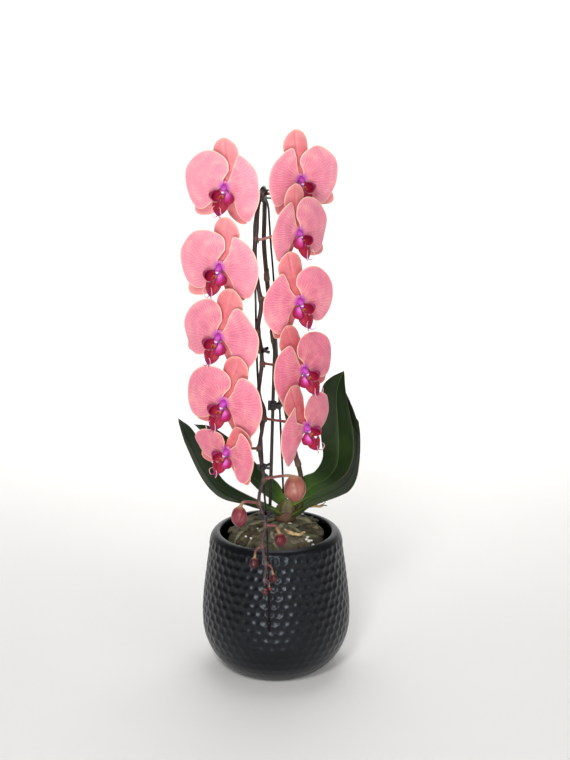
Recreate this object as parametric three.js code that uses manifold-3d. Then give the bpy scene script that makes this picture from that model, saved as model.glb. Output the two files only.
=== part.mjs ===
// Moth orchid with one arched, hanging flower spike, growing in a plain plastic
// liner that stands in a black ceramic cover pot.
// Units: millimetres. +Z up, -Y is the front, +X is to the viewer's right.
// Origin: centre of the cover pot's flat foot, on the surface that it stands on.

import * as THREE from 'three';
import { mergeVertices } from 'three/addons/utils/BufferGeometryUtils.js';
import Module from 'manifold-3d';

// ---------------------------------------------------------------- dimensions
// Cover pot
const POT_HEIGHT = 160;
const POT_MOUTH_RADIUS = 62.5;
const POT_WALL = 7;
const POT_FLOOR = 8;
const POT_OUTSIDE = [[50, 0], [53.5, 1.5], [63, 9], [73, 21], [79.5, 35], [82.6, 48], [83.3, 62], [82.8, 78],
  [81, 96], [78.6, 115], [76.4, 131], [75, 142], [74.4, 149], [72.6, 154.6], [69, 158.8], [65.5, 160]];
const POT_INSIDE = [[62.5, 158.6], [62.3, 154], [64.5, 148], [68, 138], [71.5, 118], [74, 96], [75.6, 78], [76, 62],
  [75, 48], [71.5, 36], [65, 25], [56, 14], [49, 8]];

// Plastic liner and potting bark
const LINER_BOTTOM_RADIUS = 43;
const LINER_TOP_RADIUS = 54.5;
const LINER_HEIGHT = 130;
const LINER_WALL = 1.6;
const BARK_EDGE_RADIUS = 54.5;
const BARK_TOP = 171.5;

// Flower spike, support wire, stake
const SPIKE_RADIUS = 2.3;
const WIRE_RADIUS = 1.15;
const STAKE_RADIUS = 1.9;
const END_CAP_RADIUS = 2.5;
const PEDICEL_RADIUS = 1.4;
const FIT_GAP = 0.35;

// Leaves and flower parts
const LEAF_THICKNESS = 2.2;
const PETAL_THICKNESS = 1.1;
const SEPAL_THICKNESS = 1.1;
const LIP_THICKNESS = 1.5;
// Side lobe of the lip: its rim, and how deep it cups away from the rim.
const SIDE_LOBE_RIM = [[4.8, -1.6, 6.8], [6.4, -2.4, 10.8], [6.4, -7, 13.6], [6.2, -12.2, 12.4], [5.2, -15.4, 8.8], [3, -14, 6.4], [0.9, -10.2, 7.4], [0.9, -7.2, 4.6], [3.5, -3.4, 3.4]];
const SIDE_LOBE_BULGE = [8.0, -0.3, -2.2];

// Centre line of the spike: up behind, over the arch, then down the front.
const SPIKE_PATH = [[23.5, 4, 178.8], [29.1, 5, 195], [27.9, 5, 219.6], [21.2, 4, 249.1], [10.1, 2, 303.6],
  [-0.7, -2, 366.5], [-7, -7, 422.6], [-10, -12, 456], [-11.9, -20, 486.1], [-11.1, -33, 517.4],
  [-10.9, -46, 538.7], [-11.7, -60, 547], [-14.4, -78, 542.7], [-16.9, -92, 533.6], [-17.6, -100, 523.8],
  [-17.9, -105.5, 513.6], [-18.9, -109, 503.3], [-19.7, -112, 493.8], [-19.5, -114, 482.2], [-16.6, -115, 459.3],
  [-13.7, -115, 439.1], [-16.8, -115, 414.7], [-13.9, -115, 395.3], [-13, -115, 379.8], [-15.1, -115, 362.2],
  [-16.2, -115, 346.5], [-10.8, -115, 329.8], [-13.3, -115, 309.7], [-15.9, -115, 290.6], [-13.4, -115, 271.3],
  [-11.4, -115, 258.4], [-14.5, -115, 248.7], [-16.7, -115, 232.4], [-12.6, -115.5, 219.5], [-10, -116, 207.7],
  [-12.7, -116, 194.5], [-13.7, -116.5, 184.8], [-11.7, -117, 175], [-9.7, -117.6, 166.1], [-10.7, -118, 153],
  [-11.3, -118.5, 142]];
const WIRE_PATH = [[9, 18, 176], [7.9, 18, 205.9], [7.3, 18, 223.6], [4, 17, 299.5], [0.8, 14, 372.8],
  [-2.2, 4, 444.5], [-5, -9, 484.2], [-6.2, -23, 509.5], [-7, -40, 526], [-8.8, -52, 535], [-12, -64, 540.2],
  [-15.2, -77, 537], [-18.6, -90, 527.5], [-20.4, -98, 516], [-20.6, -102.6, 504], [-20.4, -106.4, 492],
  [-19.4, -109.6, 455], [-18.1, -110.2, 379.7], [-14.4, -110.2, 308.3], [-12, -110.2, 254.7], [-8.6, -110.8, 200.3],
  [-7.3, -112.2, 156.4], [-6.7, -114, 123.5], [-6.7, -115, 101]];
const END_CAP_ENDS = [[-6.7, -115.02, 100.6], [-6.8, -115.6, 88]];
const STAKE_ENDS = [[0.5, -12.5, 427], [-7.6, 3.8, 150]];

// Flowers: centre, facing (yaw to the right, nod down, roll clockwise), size, and the
// point on the spike where the stalk leaves. Petals: [turn, length, width, bend, reach
// of the inner edge over the flower's axis], sepals: [turn, length]. lipTurn swings the
// lip about the flower's upright axis.
const FLOWERS = [
  { name: 'left_1', at: [-48.7, -106.0, 554.7], yaw: -23.5, nod: 7, roll: 5.5, size: 1.03, node: [-14.4, -78, 542.7],
    petals: [[-1.6, 1.04, 0.99, 5.1, 6], [-9.5, 0.88, 1.06, 7.6, -5]], dorsal: [7.9, 1.01], laterals: [[-2.1, 1.05], [-17.2, 0.91]], lipTurn: 0 },
  { name: 'right_1', at: [25.5, -94.0, 561.2], yaw: 27.1, nod: 9.1, roll: -4.5, size: 0.99, node: [-11.1, -51, 542.6],
    petals: [[0.7, 0.85, 0.98, 6.7, -5], [-8.6, 1.03, 1.0, 6.2, 5]], dorsal: [3.2, 1.08], laterals: [[13.7, 0.95], [9.0, 1.17]], lipTurn: 3 },
  { name: 'left_2', at: [-54.1, -116.0, 477.2], yaw: -28.2, nod: 7.1, roll: 8.2, size: 1.07, node: [-19.5, -114, 481.0],
    petals: [[-5.7, 1.04, 1.01, 1.3, 7], [-3.6, 0.98, 0.97, 4.3, -7]], dorsal: [-0.6, 1.02], laterals: [[-0.6, 1.14], [-5.4, 0.84]], lipTurn: -5 },
  { name: 'right_2', at: [23.1, -126.0, 513.0], yaw: 44.7, nod: 5.3, roll: -4.5, size: 0.96, node: [-18.9, -109.0, 503.6],
    petals: [[-2.5, 0.87, 1.0, 5.1, -5], [-0.1, 0.99, 1.04, 5.3, 5]], dorsal: [-3.8, 1.07], laterals: [[2.1, 0.79], [11.5, 1.2]], lipTurn: 0 },
  { name: 'left_3', at: [-55.5, -120.0, 408.3], yaw: -31.9, nod: 9.3, roll: 14.6, size: 1.07, node: [-16.6, -115, 412.5],
    petals: [[-9.4, 0.95, 1.02, 1.9, 6], [-0.9, 1.04, 0.98, 1.4, -5]], dorsal: [-4.7, 1.04], laterals: [[-6.8, 1.06], [0.0, 1.0]], lipTurn: 0 },
  { name: 'right_3', at: [23.9, -135.0, 447.0], yaw: 34.6, nod: 6.5, roll: -10.8, size: 1.01, node: [-14.6, -115, 446.0],
    petals: [[-4.9, 0.99, 0.99, 4.4, -7], [-10.3, 0.98, 1.0, 5.6, 6]], dorsal: [1.9, 1.08], laterals: [[5.5, 0.97], [8.4, 0.96]], lipTurn: 0 },
  { name: 'left_4', at: [-50.7, -128.0, 341.8], yaw: -29.2, nod: 6.8, roll: 16.2, size: 1.06, node: [-16.0, -115, 345.5],
    petals: [[-6.9, 1.02, 0.99, 3.2, 6], [-3.6, 0.99, 1.01, 4.8, -5]], dorsal: [-3.0, 1.04], laterals: [[0.9, 0.97], [-0.7, 0.97]], lipTurn: 0 },
  { name: 'right_4', at: [28.4, -139.0, 378.4], yaw: 43.9, nod: 1.9, roll: -20, size: 0.99, node: [-13.0, -115, 379.8],
    petals: [[1.3, 0.97, 1.0, 4.2, -4], [1.4, 1.04, 0.95, 0.3, 4]], dorsal: [1.8, 1.09], laterals: [[-5.1, 0.92], [1.5, 0.95]], lipTurn: -6 },
  { name: 'left_5', at: [-47.9, -134.0, 293.1], yaw: -38.4, nod: 15.5, roll: 25.7, size: 0.97, node: [-15.9, -115, 290.6],
    petals: [[-32.9, 1.07, 0.62, -0.2, 4], [-3.7, 0.83, 1.09, 8, -9]], dorsal: [-26.6, 0.74], laterals: [[4.2, 1.13], [-4.1, 1.01]], lipTurn: -2 },
  { name: 'right_5', at: [30.3, -139.0, 320.0], yaw: 52.8, nod: 12.6, roll: -27.1, size: 1, node: [-11.4, -115, 322.4],
    petals: [[-2.6, 0.92, 1.18, 8, -12], [0.5, 0.95, 0.87, 6.1, 2]], dorsal: [3.7, 1.18], laterals: [[2.4, 0.85], [0.0, 1.0]], lipTurn: -3 },
];

// Buds: centre, length, width, axis direction, and where the stalk leaves the spike.
const BUDS = [
  { name: 'bud_1', at: [20.3, -121, 249.6], length: 26, width: 22.5, axis: [0.12, -0.25, -1], node: [-10.6, -115, 257.6], up: [14, -118, 262] },
  { name: 'bud_2', at: [-36.8, -120, 218.7], length: 20.5, width: 16.4, axis: [-0.05, -0.3, -1], node: [-16.7, -115, 231.4], up: [-33, -117.5, 233] },
  { name: 'bud_3', at: [5.3, -120, 193], length: 14.2, width: 12.8, axis: [0.15, -0.3, -1], node: [-10, -116, 207.2], up: [1, -118, 207] },
  { name: 'bud_4', at: [-22.3, -119, 167], length: 11.6, width: 9.2, axis: [-0.15, -0.3, -1], node: [-13.6, -116.5, 184.6], up: [-20, -118, 181] },
  { name: 'bud_5', at: [-1.5, -119.5, 150.3], length: 9.6, width: 8, axis: [0.2, -0.3, -1], node: [-9.7, -117.6, 165.8], up: [-4, -118.6, 162] },
  { name: 'bud_6', at: [-10.8, -119.2, 134.6], length: 7.4, width: 5.2, axis: [-0.05, -0.1, -1] },
  { name: 'bud_7', at: [-5.4, -119, 138.6], length: 5, width: 4, axis: [0.5, -0.1, -1], node: [-10.6, -118.2, 148], up: [-6.6, -118.6, 146] },
];

// Leaves: near and far edge lines from the base to the tip.
const LEAVES = {
  leaf_left_front: {
    near: [[6, -8, 180], [-15.2, -18, 194.2], [-32, -28, 202.3], [-55.1, -42, 209.5], [-68.3, -52, 223.1], [-79.9, -58, 243.9], [-94.1, -60, 277.1], [-103, -52, 304.3]],
    far: [[3, 0, 182], [-6, 1, 188], [-20, 1.5, 194], [-44, 0, 208.2], [-60.7, -4, 223], [-77.5, -12, 254.1], [-90.3, -32, 287.4], [-103, -52, 304.3]], sag: 5 },
  leaf_left_back: {
    near: [[8, 7, 184], [-4.4, 7, 192.2], [-20.1, 8, 204.5], [-40.1, 10, 226.2], [-59.9, 10, 249.5], [-78.3, 6, 269.3], [-90.1, 4, 281.3]],
    far: [[12, 14, 192], [2.2, 26, 205.5], [-13.7, 34, 216], [-34.1, 38, 238.4], [-54.2, 36, 256.7], [-75.7, 20, 274.4], [-90.1, 4, 281.3]], sag: 5 },
  leaf_right_upright: {
    near: [[20.1, -2, 188], [35.6, -7, 199.1], [51, -9, 209.2], [65.3, -8, 217], [79, -4, 227.4], [86.4, 2, 246.2], [85.9, 8, 268.7], [82.1, 14, 288.8], [77.7, 22, 312.4], [75.5, 28, 335.7]],
    far: [[16, 8, 191], [23.6, 12, 202], [30.3, 15, 216.3], [43.8, 18, 222], [52, 20, 237.5], [50.3, 22, 257.5], [49.7, 24, 275], [51, 26, 314.2], [60, 27, 327.8], [75.5, 28, 335.7]], sag: 4 },
  leaf_right_lower: {
    near: [[17, -7, 178], [32.2, -14, 190], [51.8, -22, 199.7], [71.4, -26, 208.8], [81.1, -26, 216.1], [88.5, -16, 226.6], [93, 4, 245.6], [93, 22, 266.8], [88, 38, 287.8], [78.9, 50, 304.9]],
    far: [[19, 12, 180], [38.4, 30, 190], [56.9, 44, 198], [75.3, 54, 208.2], [85.3, 60, 227.9], [86.2, 62, 251.3], [84, 62, 272.1], [81.5, 60, 288.6], [79.5, 56, 298], [78.9, 50, 304.9]], sag: 4 },
};

// Crown: the short stem and leaf sheaths at the top of the bark.
const CROWN_CENTRE = [11, 3, 179];
const CROWN_RADII = [10.5, 7.5, 15.5];

// Surface roots.
const ROOTS = {
  root_right: { path: [[22, 16, 176], [30.3, 17, 180.5], [42.9, 24, 179], [51, 30, 176.5], [58.1, 36, 175]], radius: 1.5 },
  root_front: { path: [[10, -27, 168.5], [17, -33, 167.5], [25, -34, 166.5], [32, -29, 167.2]], radius: 1.7 },
};

// ------------------------------------------------------------------- helpers
const V = (a) => new THREE.Vector3(a[0], a[1], a[2]);
const wasm = await Module();
wasm.setup();

const toSolid = (geometry) => {
  const g = geometry.clone();
  g.deleteAttribute('normal');
  g.deleteAttribute('uv');
  const m = mergeVertices(g, 1e-4);
  return new wasm.Manifold(new wasm.Mesh({
    numProp: 3,
    vertProperties: new Float32Array(m.attributes.position.array),
    triVerts: new Uint32Array(m.index.array),
  }));
};

const toGeometry = (solid) => {
  const mesh = solid.getMesh();
  const count = mesh.vertProperties.length / mesh.numProp;
  const pos = new Float32Array(count * 3);
  for (let i = 0; i < count; i++) {
    for (let k = 0; k < 3; k++) pos[3 * i + k] = mesh.vertProperties[i * mesh.numProp + k];
  }
  const g = new THREE.BufferGeometry();
  g.setAttribute('position', new THREE.BufferAttribute(pos, 3));
  g.setIndex(Array.from(mesh.triVerts));
  g.computeVertexNormals();
  return g;
};

// Largest separate lump of a solid: trimming a leaf round the crown can leave crumbs.
const largest = (solid) => solid.decompose().sort((a, b) => b.volume() - a.volume())[0];

const closedMesh = (positions, index) => {
  const g = new THREE.BufferGeometry();
  g.setAttribute('position', new THREE.Float32BufferAttribute(positions.flatMap((p) => [p.x, p.y, p.z]), 3));
  let volume = 0;
  const a = new THREE.Vector3();
  for (let i = 0; i < index.length; i += 3) {
    const [p, q, r] = [positions[index[i]], positions[index[i + 1]], positions[index[i + 2]]];
    volume += p.dot(a.crossVectors(q, r));
  }
  if (volume < 0) for (let i = 0; i < index.length; i += 3) [index[i], index[i + 1]] = [index[i + 1], index[i]];
  g.setIndex(index);
  g.computeVertexNormals();
  return g;
};

const spline = (points, t) => {
  const n = points.length - 1;
  const u = Math.min(Math.max(t, 0), 1) * n;
  const i = Math.min(Math.floor(u), n - 1);
  const f = u - i;
  return points[0].map((_, k) => {
    const p1 = points[i][k];
    const p2 = points[i + 1][k];
    const p0 = i === 0 ? 2 * p1 - p2 : points[i - 1][k];
    const p3 = i === n - 1 ? 2 * p2 - p1 : points[i + 2][k];
    return 0.5 * (2 * p1 + (p2 - p0) * f + (2 * p0 - 5 * p1 + 4 * p2 - p3) * f * f
      + (3 * p1 - p0 - 3 * p2 + p3) * f * f * f);
  });
};

const tube = (points, radius, steps, sides = 8) => {
  const curve = new THREE.CatmullRomCurve3(points.map(V), false, 'centripetal');
  const section = new THREE.Shape();
  for (let i = 0; i < sides; i++) {
    const a = (2 * Math.PI * i) / sides;
    if (i === 0) section.moveTo(radius, 0);
    else section.lineTo(radius * Math.cos(a), radius * Math.sin(a));
  }
  section.closePath();
  return new THREE.ExtrudeGeometry(section, { steps, bevelEnabled: false, extrudePath: curve });
};

const spikeCurve = new THREE.CatmullRomCurve3(SPIKE_PATH.map(V), false, 'centripetal');
const spikeTangent = (point) => {
  let best = 0;
  for (let i = 0; i <= 400; i++) {
    if (spikeCurve.getPoint(i / 400).distanceTo(V(point)) < spikeCurve.getPoint(best).distanceTo(V(point))) best = i / 400;
  }
  return spikeCurve.getTangent(best);
};

const rod = (from, to, radius, sides = 8) => {
  const a = V(from);
  const b = V(to);
  const g = new THREE.CylinderGeometry(radius, radius, a.distanceTo(b), sides, 1);
  const q = new THREE.Quaternion().setFromUnitVectors(new THREE.Vector3(0, 1, 0), b.clone().sub(a).normalize());
  g.applyQuaternion(q);
  const c = a.add(b).multiplyScalar(0.5);
  g.translate(c.x, c.y, c.z);
  return g;
};

const lathe = (profile, segments) => {
  const g = new THREE.LatheGeometry(profile.map(([r, z]) => new THREE.Vector2(r, z)), segments);
  g.rotateX(Math.PI / 2);
  return g;
};

const ellipsoid = (centre, radii, axis = [0, 0, 1], w = 10, h = 7) => {
  const g = new THREE.SphereGeometry(1, w, h);
  g.rotateX(Math.PI / 2);
  g.scale(radii[0], radii[1], radii[2]);
  g.applyQuaternion(new THREE.Quaternion().setFromUnitVectors(new THREE.Vector3(0, 0, 1), V(axis).normalize()));
  g.translate(centre[0], centre[1], centre[2]);
  return g;
};

// Thin blade with a closed outline: rings run from a centre point to the outline.
// outline: [[x, y]...], height(x, y) gives the third coordinate.
const blade = (outline, centre, height, thickness, rings = [1]) => {
  const n = outline.length;
  const positions = [];
  const point = (x, y, s, thin) => new THREE.Vector3(x, y, height(x, y) + (s * thickness * thin) / 2);
  for (const s of [1, -1]) {
    positions.push(point(centre[0], centre[1], s, 1));
    for (const k of rings) {
      for (let i = 0; i < n; i++) {
        positions.push(point(centre[0] + (outline[i][0] - centre[0]) * k, centre[1] + (outline[i][1] - centre[1]) * k, s, k === 1 ? 0.7 : 1));
      }
    }
  }
  const half = 1 + rings.length * n;
  const index = [];
  for (const s of [0, 1]) {
    const o = s * half;
    const tri = (a, b, c) => (s === 0 ? index.push(o + a, o + b, o + c) : index.push(o + a, o + c, o + b));
    for (let i = 0; i < n; i++) {
      const j = (i + 1) % n;
      tri(0, 1 + i, 1 + j);
      for (let r = 0; r < rings.length - 1; r++) {
        const a = 1 + r * n;
        const b = a + n;
        tri(a + i, b + i, b + j);
        tri(a + i, b + j, a + j);
      }
    }
  }
  const last = 1 + (rings.length - 1) * n;
  for (let i = 0; i < n; i++) {
    const j = (i + 1) % n;
    index.push(last + i, half + last + i, half + last + j, last + i, half + last + j, last + j);
  }
  return closedMesh(positions, index);
};

// Thin blade between points in space: fan from the centre to the outline.
const shell = (outline, centre, thickness) => {
  const c = V(centre);
  const pts = outline.map(V);
  const n = pts.length;
  const normal = new THREE.Vector3();
  for (let i = 0; i < n; i++) {
    normal.add(pts[i].clone().sub(c).cross(pts[(i + 1) % n].clone().sub(c)));
  }
  normal.normalize().multiplyScalar(thickness / 2);
  const positions = [c.clone().add(normal), ...pts.map((p) => p.clone().add(normal)),
    c.clone().sub(normal), ...pts.map((p) => p.clone().sub(normal))];
  const index = [];
  for (let i = 0; i < n; i++) {
    const j = (i + 1) % n;
    index.push(0, 1 + i, 1 + j, n + 1, n + 2 + j, n + 2 + i);
    index.push(1 + i, n + 2 + i, n + 2 + j, 1 + i, n + 2 + j, 1 + j);
  }
  return closedMesh(positions, index);
};

// Cupped shell: rings between its rim and its deepest point, which lies at bulge from the rim's middle.
const cup = (rim, bulge, thickness) => {
  const pts = rim.map(V);
  const n = pts.length;
  const c = pts.reduce((a, p) => a.add(p), new THREE.Vector3()).divideScalar(n);
  const b = V(bulge);
  const steps = [0.45, 0.78, 1];
  const at = (i, q) => c.clone().addScaledVector(pts[(i + n) % n].clone().sub(c), q).addScaledVector(b, 1 - q ** 2.2);
  const deepest = new THREE.Vector3();
  for (let i = 0; i < n; i++) deepest.add(pts[i].clone().sub(c).cross(pts[(i + 1) % n].clone().sub(c)));
  deepest.normalize();
  const positions = [];
  for (const s of [1, -1]) {
    positions.push(c.clone().add(b).addScaledVector(deepest, (s * thickness) / 2));
    for (const q of steps) {
      for (let i = 0; i < n; i++) {
        const normal = at(i, q + 0.02).sub(at(i, q - 0.02)).cross(at(i + 1, q).sub(at(i - 1, q))).normalize();
        positions.push(at(i, q).addScaledVector(normal, (s * thickness * (q === 1 ? 0.7 : 1)) / 2));
      }
    }
  }
  const half = 1 + steps.length * n;
  const index = [];
  for (const s of [0, 1]) {
    const o = s * half;
    const tri = (a, b2, d) => (s === 0 ? index.push(o + a, o + b2, o + d) : index.push(o + a, o + d, o + b2));
    for (let i = 0; i < n; i++) {
      const j = (i + 1) % n;
      tri(0, 1 + i, 1 + j);
      for (let r = 0; r < steps.length - 1; r++) {
        const a = 1 + r * n;
        tri(a + i, a + n + i, a + n + j);
        tri(a + i, a + n + j, a + j);
      }
    }
  }
  const last = 1 + (steps.length - 1) * n;
  for (let i = 0; i < n; i++) {
    const j = (i + 1) % n;
    index.push(last + i, half + last + i, half + last + j, last + i, half + last + j, last + j);
  }
  return closedMesh(positions, index);
};

// Leaf between two edge lines, its middle let down by sag, as a closed thin solid.
const leafSolid = ({ near, far, sag }, thickness) => {
  const along = 9;
  const across = 4;
  const grid = [];
  for (let i = 0; i <= along; i++) {
    const t = 0.985 * Math.pow(i / along, 0.95);
    const a = V(spline(near, t));
    const b = V(spline(far, t));
    const row = [];
    for (let j = 0; j <= across; j++) {
      const v = j / across;
      row.push(a.clone().lerp(b, v));
    }
    grid.push(row);
  }
  const side = new THREE.Vector3();
  const along3 = new THREE.Vector3();
  const normals = grid.map((row, i) => {
    const p = grid[Math.max(i - 1, 0)][across / 2];
    const q = grid[Math.min(i + 1, along)][across / 2];
    along3.subVectors(q, p);
    side.subVectors(row[across], row[0]);
    if (side.length() < 1) side.subVectors(grid[i - 1][across], grid[i - 1][0]);
    return new THREE.Vector3().crossVectors(along3, side).normalize();
  });
  const positions = [];
  for (const s of [1, -1]) {
    grid.forEach((row, i) => {
      const width = row[0].distanceTo(row[across]);
      row.forEach((p, j) => {
        const v = (2 * j) / across - 1;
        const drop = sag * Math.min(1, width / 30) * (1 - v * v);
        const thin = Math.abs(v) === 1 ? 0.6 : 1;
        const down = normals[i].z > 0 ? -1 : 1;
        positions.push(p.clone().addScaledVector(normals[i], down * drop + (s * thickness * thin) / 2));
      });
    });
  }
  const cols = across + 1;
  const half = cols * (along + 1);
  const index = [];
  for (const s of [0, 1]) {
    const o = s * half;
    for (let i = 0; i < along; i++) {
      for (let j = 0; j < across; j++) {
        const a = o + i * cols + j;
        const b = a + cols;
        if (s === 0) index.push(a, b, b + 1, a, b + 1, a + 1);
        else index.push(a, b + 1, b, a, a + 1, b + 1);
      }
    }
  }
  const rim = [];
  for (let i = 0; i <= along; i++) rim.push(i * cols);
  for (let j = 1; j <= across; j++) rim.push(along * cols + j);
  for (let i = along - 1; i >= 0; i--) rim.push(i * cols + across);
  for (let j = across - 1; j >= 1; j--) rim.push(j);
  for (let k = 0; k < rim.length; k++) {
    const a = rim[k];
    const b = rim[(k + 1) % rim.length];
    index.push(a, half + a, half + b, a, half + b, b);
  }
  return closedMesh(positions, index);
};

const paint = (color, roughness, metalness = 0) => new THREE.MeshStandardMaterial({ color, roughness, metalness });
const MATERIAL = {
  ceramic: paint(0x1b1b1d, 0.5),
  liner: paint(0x3d3f3c, 0.45),
  bark: paint(0x5d5646, 0.9),
  crown: paint(0x4a4330, 0.6),
  leaf: paint(0x24401f, 0.4),
  spike: paint(0x553c3a, 0.55),
  wire: paint(0x20261f, 0.35),
  cap: paint(0x141414, 0.5),
  clip: paint(0x1f1c1a, 0.5),
  sepal: paint(0xee8b8c, 0.6),
  petal: paint(0xee93a4, 0.6),
  lip: paint(0x9a1238, 0.4),
  bud: paint(0xc0605c, 0.5),
  root: paint(0x9c8264, 0.85),
};

const orchid = new THREE.Group();
const add = (name, geometry, material, parent = orchid) => {
  const mesh = new THREE.Mesh(geometry, material);
  mesh.name = name;
  parent.add(mesh);
  return mesh;
};

// --------------------------------------------------------------- pot and bark
add('cover_pot', lathe([[0, 0], ...POT_OUTSIDE, [63.6, 159.9], ...POT_INSIDE, [0, POT_FLOOR]], 24), MATERIAL.ceramic);

const linerBase = POT_FLOOR + FIT_GAP;
const linerTop = linerBase + LINER_HEIGHT;
add('liner_pot', lathe([
  [0, linerBase], [LINER_BOTTOM_RADIUS, linerBase], [LINER_TOP_RADIUS - 1.4, linerTop - 5], [LINER_TOP_RADIUS, linerTop - 5],
  [LINER_TOP_RADIUS, linerTop], [LINER_TOP_RADIUS - 1.4 - LINER_WALL, linerTop],
  [LINER_BOTTOM_RADIUS - LINER_WALL, linerBase + 2], [0, linerBase + 2]], 20), MATERIAL.liner);

const spikeSolid = toSolid(tube(SPIKE_PATH, SPIKE_RADIUS, 76, 7));
const spikeRoom = toSolid(tube(SPIKE_PATH, SPIKE_RADIUS + FIT_GAP, 76, 7));
const wireSolid = toSolid(tube(WIRE_PATH, WIRE_RADIUS, 50, 5));
const wireRoom = toSolid(tube(WIRE_PATH, WIRE_RADIUS + FIT_GAP + 0.1, 50, 5));
const stakeRoom = toSolid(rod(STAKE_ENDS[0], STAKE_ENDS[1], STAKE_RADIUS + FIT_GAP + 0.1));
const crownSolid = toSolid(ellipsoid(CROWN_CENTRE, CROWN_RADII, [0.15, 0, 1], 12, 8)).subtract(spikeRoom).subtract(wireRoom).subtract(stakeRoom);
const crownRoom = toSolid(ellipsoid(CROWN_CENTRE, CROWN_RADII.map((r) => r + FIT_GAP + 0.15), [0.15, 0, 1], 12, 8));

// Heaped bark: a lumpy mound whose edge drops just inside the pot's mouth.
const barkProfile = [[0, linerBase + 2 + FIT_GAP], [LINER_BOTTOM_RADIUS - LINER_WALL - 0.6, linerBase + 2 + FIT_GAP],
  [LINER_TOP_RADIUS - 1.4 - LINER_WALL - 0.45, linerTop + 0.2], [BARK_EDGE_RADIUS - 1.5, linerTop + 0.6],
  [BARK_EDGE_RADIUS, linerTop + 5], [BARK_EDGE_RADIUS - 0.5, 152], [BARK_EDGE_RADIUS - 4, 158.5], [44, 163.5],
  [34, 167], [20, 170], [0, BARK_TOP]];
const bark = lathe(barkProfile, 20);
{
  const p = bark.attributes.position;
  for (let i = 0; i < p.count; i++) {
    const [x, y, z] = [p.getX(i), p.getY(i), p.getZ(i)];
    const r = Math.hypot(x, y);
    if (z > linerTop + 3 && r > 1) {
      const a = Math.atan2(y, x);
      const lump = Math.sin(3 * a + 0.7) * 0.8 + Math.sin(7 * a + z * 0.21) * 0.9;
      p.setZ(i, z + lump * Math.min(1, (z - linerTop - 3) / 12));
      const k = 1 + (0.012 * Math.sin(5 * a + 1.3)) - 0.012;
      p.setX(i, x * k);
      p.setY(i, y * k);
    }
  }
}
const rootSolids = Object.fromEntries(Object.entries(ROOTS).map(([name, r]) => [name, {
  solid: toSolid(tube(r.path, r.radius, 7, 6)),
  room: toSolid(tube(r.path, r.radius + FIT_GAP, 7, 6)),
}]));
let barkSolid = toSolid(bark).subtract(crownRoom).subtract(stakeRoom).subtract(wireRoom).subtract(spikeRoom);
for (const r of Object.values(rootSolids)) barkSolid = barkSolid.subtract(r.room);
add('potting_bark', toGeometry(largest(barkSolid)), MATERIAL.bark);

add('crown', toGeometry(largest(crownSolid)), MATERIAL.crown);
for (const [name, r] of Object.entries(rootSolids)) {
  add(name, toGeometry(largest(r.solid.subtract(crownRoom).subtract(spikeRoom).subtract(wireRoom))), MATERIAL.root);
}

// ---------------------------------------------------------------------- leaves
for (const [name, leaf] of Object.entries(LEAVES)) {
  let solid = toSolid(leafSolid(leaf, LEAF_THICKNESS));
  for (const room of [crownRoom, spikeRoom, wireRoom, stakeRoom, rootSolids.root_right.room]) solid = solid.subtract(room);
  add(name, toGeometry(largest(solid)), MATERIAL.leaf);
}

// ------------------------------------------------------- spike, wire and stake
add('flower_spike', toGeometry(spikeSolid), MATERIAL.spike);
add('support_wire', toGeometry(wireSolid), MATERIAL.wire);
add('wire_end_cap', rod(END_CAP_ENDS[0], END_CAP_ENDS[1], END_CAP_RADIUS, 12), MATERIAL.cap);
add('stake', toGeometry(toSolid(rod(STAKE_ENDS[0], STAKE_ENDS[1], STAKE_RADIUS))), MATERIAL.wire);

// Clips that hold the spike to the wire: an oval collar with two small tails.
const CLIPS = {
  clip_apex: { at: [-11.9, -64, 543.2], reach: [3.9, 8.2], length: 7, normal: [0.13, 0.98, 0.12], turn: 0 },
  clip_upper: { at: [-15.4, -112.4, 392.5], reach: [5.2, 6.0], length: 5, normal: [0.06, 0, 1], turn: 0.2 },
  clip_middle: { at: [-13.1, -112.6, 269.6], reach: [4.4, 6.2], length: 4.4, normal: [-0.1, 0, 1], turn: 0 },
  clip_lower: { at: [-11.0, -113.2, 217.2], reach: [5.6, 6.4], length: 4.4, normal: [-0.1, 0, 1], turn: 0.3 },
  clip_stake: { at: [-3.2, -4.7, 305], reach: [4.6, 4.6], length: 9, normal: [0.03, -0.06, 1], turn: 0 },
};
for (const [name, c] of Object.entries(CLIPS)) {
  const collar = new THREE.CylinderGeometry(1, 1, c.length, 8, 1);
  collar.rotateX(Math.PI / 2);
  collar.rotateZ(c.turn);
  collar.scale(c.reach[0], c.reach[1], 1);
  const z = V(c.normal).normalize();
  const x = new THREE.Vector3(1, 0, 0).addScaledVector(z, -z.x).normalize();
  const y = new THREE.Vector3().crossVectors(z, x);
  collar.applyMatrix4(new THREE.Matrix4().makeBasis(x, y, z).setPosition(V(c.at)));
  let solid = toSolid(collar);
  const tail = [0.6, -0.35].map((k, i) => rod(
    c.at, V(c.at).addScaledVector(x, c.reach[0] + 3).addScaledVector(z, k * c.length + i).toArray(), 0.8, 4));
  for (const t of tail) solid = solid.add(toSolid(t));
  solid = solid.subtract(spikeRoom).subtract(wireRoom).subtract(stakeRoom);
  add(name, toGeometry(largest(solid)), MATERIAL.clip);
}

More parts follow.
